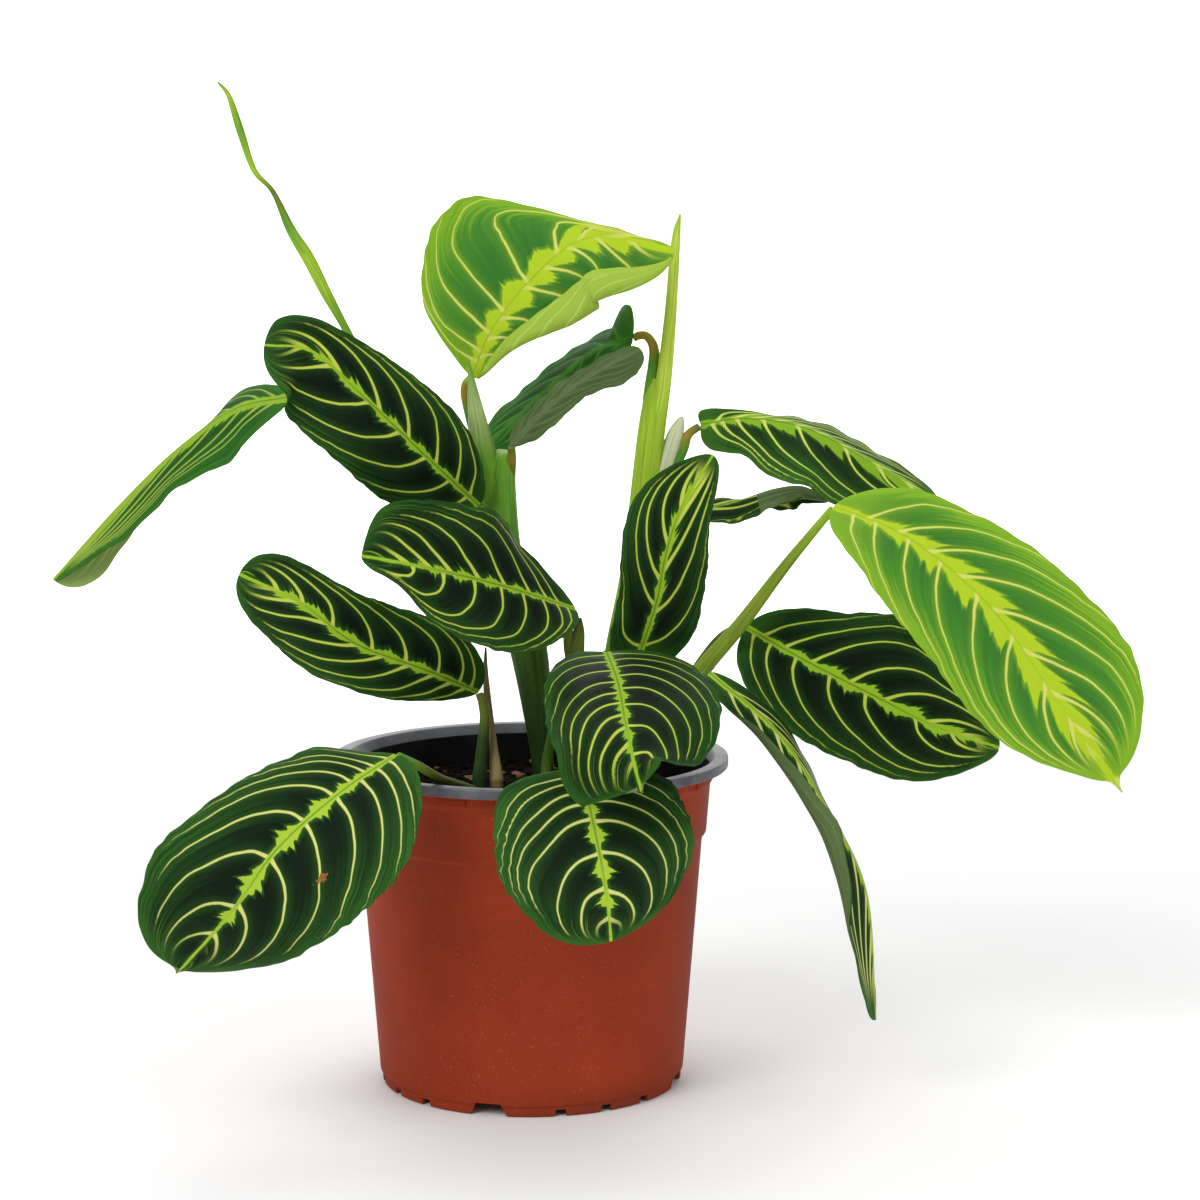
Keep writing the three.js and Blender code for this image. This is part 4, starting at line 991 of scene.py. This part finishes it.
# from the middle of the floor's underside, round the foot and up the outside, over the lip and down the inside
profile = [
    (0, FLOOR_LOW),
    (inner_radius(FLOOR_LOW) - 0.3, FLOOR_LOW),
    (inner_radius(0), 0),
    (BODY_FOOT, 0),
    (BODY_FOOT + 0.1, 2.6),
    (BODY_FOOT + 0.75, 3.4),
    (BODY_TOP, COLLAR_FOOT - COLLAR_STEP),
    (BODY_TOP + COLLAR_STEP, COLLAR_FOOT),
    (COLLAR_RADIUS - 1, POT_HEIGHT - RIM_THICK - 5),
    (COLLAR_RADIUS, POT_HEIGHT - RIM_THICK - 3.4),
    (COLLAR_RADIUS + 0.4, POT_HEIGHT - RIM_THICK),
    (RIM_RADIUS, POT_HEIGHT - RIM_THICK),
    (RIM_RADIUS, POT_HEIGHT),
    (RIM_MOUTH, POT_HEIGHT),
    (COLLAR_RADIUS - WALL, POT_HEIGHT - RIM_THICK),
    (BODY_TOP + COLLAR_STEP - WALL, COLLAR_FOOT + 2),
    (inner_radius(COLLAR_FOOT - 2), COLLAR_FOOT - 2),
    (inner_radius(FLOOR_HIGH + 1), FLOOR_HIGH + 1),
    (inner_radius(FLOOR_HIGH) - 1, FLOOR_HIGH),
    (0, FLOOR_HIGH),
]
deselect()
bpy.ops.mesh.primitive_circle_add(vertices=len(profile), radius=1, fill_type="NOTHING")
pot = last_made("pot_shell")
neighbours = {}
for edge in pot.data.edges:
    a, b = edge.vertices
    neighbours.setdefault(a, []).append(b)
    neighbours.setdefault(b, []).append(a)
order = [0, neighbours[0][0]]
while len(order) < len(profile):
    order.append(next(i for i in neighbours[order[-1]] if i != order[-2]))
for i, (radius, height) in zip(order, profile):
    pot.data.vertices[i].co = (radius * MM, 0, height * MM)
print("points of the profile:", len(profile))

# %% Spin the pot
CORNER = 0.35  # rounding of the corners, mm
SPIN_STEPS = 144
ON_AXIS = 1e-6
pick_edges(pot, lambda end: end.x < ON_AXIS)
bpy.ops.mesh.delete(type="EDGE_FACE")
leave_edit()
for vertex in pot.data.vertices:
    vertex.select = vertex.co.x > ON_AXIS
bpy.ops.object.mode_set(mode="EDIT")
bpy.ops.mesh.select_mode(type="VERT")
bpy.ops.mesh.bevel(offset=CORNER * MM, segments=3, affect="VERTICES")
bpy.ops.mesh.select_all(action="SELECT")
bpy.ops.mesh.spin(steps=SPIN_STEPS, angle=2 * math.pi, center=(0, 0, 0), axis=(0, 0, 1))
bpy.ops.mesh.select_all(action="SELECT")
bpy.ops.mesh.remove_doubles(threshold=2e-6)
bpy.ops.mesh.normals_make_consistent(inside=False)
leave_edit()
print("faces of the pot:", len(pot.data.polygons))

# %% Notches of the foot and drain holes
# a notch: degrees round from the front, then its width at the foot, its width at the top and its height in mm
WIDE_AT, WIDE_NOTCH = -15, (12, 7.6, 3.8)
SMALL_AT, SMALL_NOTCH = (12, 30, 48), (3.6, 3.2, 2)
DRAIN_RADIUS, DRAIN_RING, DRAINS = 3.5, 35, 6


def block_of(shape, angle, rounding=0):
    """A cube whose corners go where a rule says, in mm. It is rounded and then turned round the axis."""
    deselect()
    bpy.ops.mesh.primitive_cube_add(size=1)
    block = bpy.context.active_object
    for vertex in block.data.vertices:
        vertex.co = Vector(shape(*vertex.co)) * MM
    if rounding:
        edit()
        bpy.ops.mesh.bevel(offset=rounding * MM, segments=2)
        leave_edit()
    block.data.transform(Matrix.Rotation(math.radians(angle), 4, "Z"))
    return block


def notch_block(angle, low, high, tall):
    """A wedge that is wider at its foot, across the foot ring."""

    def shape(x, y, z):
        wide = high if z > 0 else low
        return math.copysign(wide / 2, x), -BODY_FOOT + math.copysign(3, y), tall if z > 0 else -1

    return block_of(shape, angle)


cutters = []
for turn in range(0, 360, 90):
    cutters.append(notch_block(turn + WIDE_AT, *WIDE_NOTCH))
    cutters += [notch_block(turn + at, *SMALL_NOTCH) for at in SMALL_AT]
for i in range(DRAINS):
    angle = math.radians(30 + 360 * i / DRAINS)
    spot = Vector((DRAIN_RING * math.cos(angle), DRAIN_RING * math.sin(angle), FLOOR_HIGH)) * MM
    deselect()
    bpy.ops.mesh.primitive_cylinder_add(vertices=24, radius=DRAIN_RADIUS * MM, depth=6 * MM, location=spot)
    bpy.ops.object.transform_apply(location=True, rotation=False, scale=False)
    cutters.append(bpy.context.active_object)
cutter = join_all(cutters, "cutter")
cut = pot.modifiers.new("cut", "BOOLEAN")
cut.object = cutter
cut.operation = "DIFFERENCE"
cut.solver = "EXACT"
deselect()
pot.select_set(True)
bpy.context.view_layer.objects.active = pot
bpy.ops.object.modifier_apply(modifier=cut.name)
bpy.data.objects.remove(cutter)
print("faces of the pot after the cuts:", len(pot.data.polygons))

# %% [markdown]
# The pot has three finishes. The faces that look inwards and the top of the floor are black, the flat lip is
# dark grey plastic painted lighter grey as a painted highlight, and the rest is red. The red plastic is matte,
# with a fine grain, soft clouds and patches that are darker towards the bottom. Small raised panels stand under
# the lip, which keep stacked pots apart.

# %% Finishes of the pot
red, tree, shader = finish_of("terracotta_plastic", 0.6, 0.06)
spot = object_place(tree)
cloud = speckle(tree, spot, 28, 3.0)
grain = speckle(tree, spot, 1400)
tone = toned(tree, cloud, 0.35, 0.7, "8c341d", "99391f")
tone = toned(tree, grain, 0.62, 0.75, tone, "a54c31")
height = put(tree, "ShaderNodeSeparateXYZ", {0: spot}).outputs[2]
# darker towards the bottom: within 12 mm of the floor the red turns patchily darker
low, patchy = ramp_between(tree, height, 0.012, 0.0), ramp_between(tree, cloud, 0.4, 0.6)
darker_towards_bottom = sum_of(tree, "MULTIPLY", sum_of(tree, "MULTIPLY", low, patchy), 0.5)
tone = blend_of(tree, darker_towards_bottom, tone, colour("5c2d20"))
paint(tree, shader, tone, grain, 0.15, 0.0002)

black = speckled("black_plastic", 0.5, 0.1, (60, 4.0), (0.4, 0.75), ("0e0e0f", "1c1c1e"), (0.1, 0.0003))
# the lip is dark grey plastic, painted a lighter lavender grey as a painted highlight
lip_highlight = speckled("grey_lip_painted_highlight", 0.45, 0.4, (90, 4.0), (0.35, 0.7), ("4e4f56", "6c6c74"), (0.1, 0.0003))

pot.data.materials.clear()
for finish in (red, black, lip_highlight):
    pot.data.materials.append(finish)
LIP_LOW = (POT_HEIGHT - RIM_THICK + 0.2) * MM
for face in pot.data.polygons:
    middle = face.center
    outward = face.normal.x * middle.x + face.normal.y * middle.y
    radius = math.hypot(middle.x, middle.y)
    on_lip = middle.z > LIP_LOW
    inside = outward < 0 and radius > 0.04 and middle.z > FLOOR_HIGH * MM
    on_floor = radius < 0.045 and middle.z > (FLOOR_LOW + 0.8) * MM
    face.material_index = 2 if on_lip else 1 if inside or on_floor else 0
print("black faces:", sum(face.material_index == 1 for face in pot.data.polygons))

# %% Panels under the lip
PANELS, PANEL_AT = 8, -23  # PANEL_AT: degrees round from the front
PANEL_WIDE, PANEL_TALL, PANEL_PROUD, PANEL_SUNK, PANEL_ROUNDING = 9, 3.2, 0.55, 1.1, 0.3
PANEL_TOP = POT_HEIGHT - RIM_THICK - 0.1


def panel_corner(x, y, z):
    deep = PANEL_PROUD if y < 0 else -PANEL_SUNK
    low = PANEL_TALL if z < 0 else 0
    return math.copysign(PANEL_WIDE / 2, x), -COLLAR_RADIUS - deep, PANEL_TOP - low


panels = [block_of(panel_corner, PANEL_AT + 360 * i / PANELS, PANEL_ROUNDING) for i in range(PANELS)]
for panel in panels:
    panel.data.materials.append(red)
pot = join_all([pot, *panels], "pot_shell")
pot.data.transform(Matrix.Translation(AXIS))
bpy.ops.object.shade_smooth_by_angle(angle=math.radians(35))
dress(pot, "pot")
print("pot faces with panels:", len(pot.data.polygons))

# %% [markdown]
# ## The soil
# Potting soil is dark, damp and loose, with crumbs and bits of bark on top. One body fills the pot, with an
# uneven top. Loose crumbs are one rough lump and one bark chip, each modelled once and copied with its own
# turn and size, because that is quicker than a cut in the soil for each of them and looks the same.

# %% Body of the soil
SOIL_MOUND, SOIL_BUMP = 1.6, 0.7
SOIL_RADIUS = BODY_TOP + COLLAR_STEP - WALL - 0.3


def soil_height(x, y):
    mound = SOIL_MOUND * (1 - (x * x + y * y) / (RIM_MOUTH * RIM_MOUTH))
    broad = np.sin(x / 5.1 + 1) * np.cos(y / 4.3)
    fine = 0.5 * np.sin(x / 2.3 - y / 3.1)
    return SOIL_TOP + mound + SOIL_BUMP * (broad + fine)


soil, first, second = grid_of("soil_body", 120, 120)
a, b = 2 * first - 1, 2 * second - 1
x = SOIL_RADIUS * a * np.sqrt(1 - b * b / 2)
y = SOIL_RADIUS * b * np.sqrt(1 - a * a / 2)
dice = np.random.default_rng(7)
rough = 0.25 * np.sin(x * 1.7 + 2 * np.sin(y * 1.1)) * np.cos(y * 1.9) + dice.uniform(-0.3, 0.3, len(x))
place_points(soil, np.stack([x, y, soil_height(x, y) + rough], -1))
edit()
bpy.ops.mesh.region_to_loop()
drop = SOIL_TOP - FLOOR_HIGH - 0.4
narrow = (inner_radius(FLOOR_HIGH + 1) - 1.3) / SOIL_RADIUS
bpy.ops.mesh.extrude_edges_move(TRANSFORM_OT_translate={"value": (0, 0, -drop * MM)})
bpy.ops.transform.resize(value=(narrow, narrow, 0), center_override=(AXIS.x, AXIS.y, (FLOOR_HIGH + 0.5) * MM))
bpy.ops.mesh.edge_face_add()
bpy.ops.mesh.select_all(action="SELECT")
bpy.ops.mesh.normals_make_consistent(inside=False)
leave_edit()
print("soil faces:", len(soil.data.polygons))

# %% Finish of the soil
earth, tree, shader = finish_of("potting_soil", 0.95, 0.04)
spot = object_place(tree)
lumps = speckle(tree, spot, 420, 4.0)
flecks = speckle(tree, spot, 900)
tone = toned(tree, lumps, 0.35, 0.75, "060403", "1a120c")
tone = toned(tree, flecks, 0.66, 0.76, tone, "4a3620")
paint(tree, shader, tone, lumps, 0.8, 0.001)
soil.data.materials.append(earth)
bpy.ops.object.shade_smooth_by_angle(angle=math.radians(60))
dress(soil, "soil")

bark = speckled("bark_chip", 0.85, 0.2, (260, 3.0), (0.3, 0.7), ("3a2617", "8a5f38"), (0.5, 0.0005))
print("soil finishes:", earth.name, bark.name)

# %% Crumbs and bark on the soil
CRUMBS, CHIPS = 520, 46
draw = random.Random(11)


def roughen(pattern, stretch, sizes):
    """Stretches a pattern piece, and moves each of its points in or out by chance."""
    for vertex in pattern.data.vertices:
        place = [vertex.co[k] * stretch[k] for k in range(3)]
        vertex.co = Vector(place) * draw.uniform(*sizes)


def scattered(pattern, count, sizes, finish, name):
    """Copies of a pattern piece over the soil, each with its own turn and size, joined into one piece."""
    copies = []
    for _ in range(count):
        angle, radius = draw.uniform(0, 2 * math.pi), (SOIL_RADIUS - 2.5) * math.sqrt(draw.random())
        x, y = radius * math.cos(angle), radius * math.sin(angle)
        size = draw.uniform(*sizes)
        turn = Matrix.Rotation(draw.uniform(0, 6.28), 4, "Z") @ Matrix.Rotation(draw.uniform(-0.5, 0.5), 4, "X")
        place = AXIS + Vector((x, y, float(soil_height(x, y)) + 0.15 * size)) * MM
        mesh = pattern.data.copy()
        mesh.transform(Matrix.Translation(place) @ turn @ Matrix.Scale(size * MM, 4))
        copy = bpy.data.objects.new(name, mesh)
        bpy.context.scene.collection.objects.link(copy)
        copies.append(copy)
    bpy.data.objects.remove(pattern)
    whole = join_all(copies, name)
    whole.data.materials.clear()
    whole.data.materials.append(finish)
    dress(whole, "soil", stands_for=False)
    return whole


deselect()
bpy.ops.mesh.primitive_ico_sphere_add(subdivisions=1, radius=1)
lump = bpy.context.active_object
roughen(lump, (1, 0.8, 0.6), (0.7, 1.2))
crumbs = scattered(lump, CRUMBS, (0.5, 1.6), earth, "soil_crumbs")

deselect()
bpy.ops.mesh.primitive_cube_add(size=1)
chip = bpy.context.active_object
roughen(chip, (2.6, 1.1, 0.45), (0.75, 1.15))
edit()
bpy.ops.mesh.bevel(offset=0.12, segments=1)
leave_edit()
chips = scattered(chip, CHIPS, (1.2, 2.6), bark, "bark_chips")
print("crumb faces:", len(crumbs.data.polygons), "chip faces:", len(chips.data.polygons))
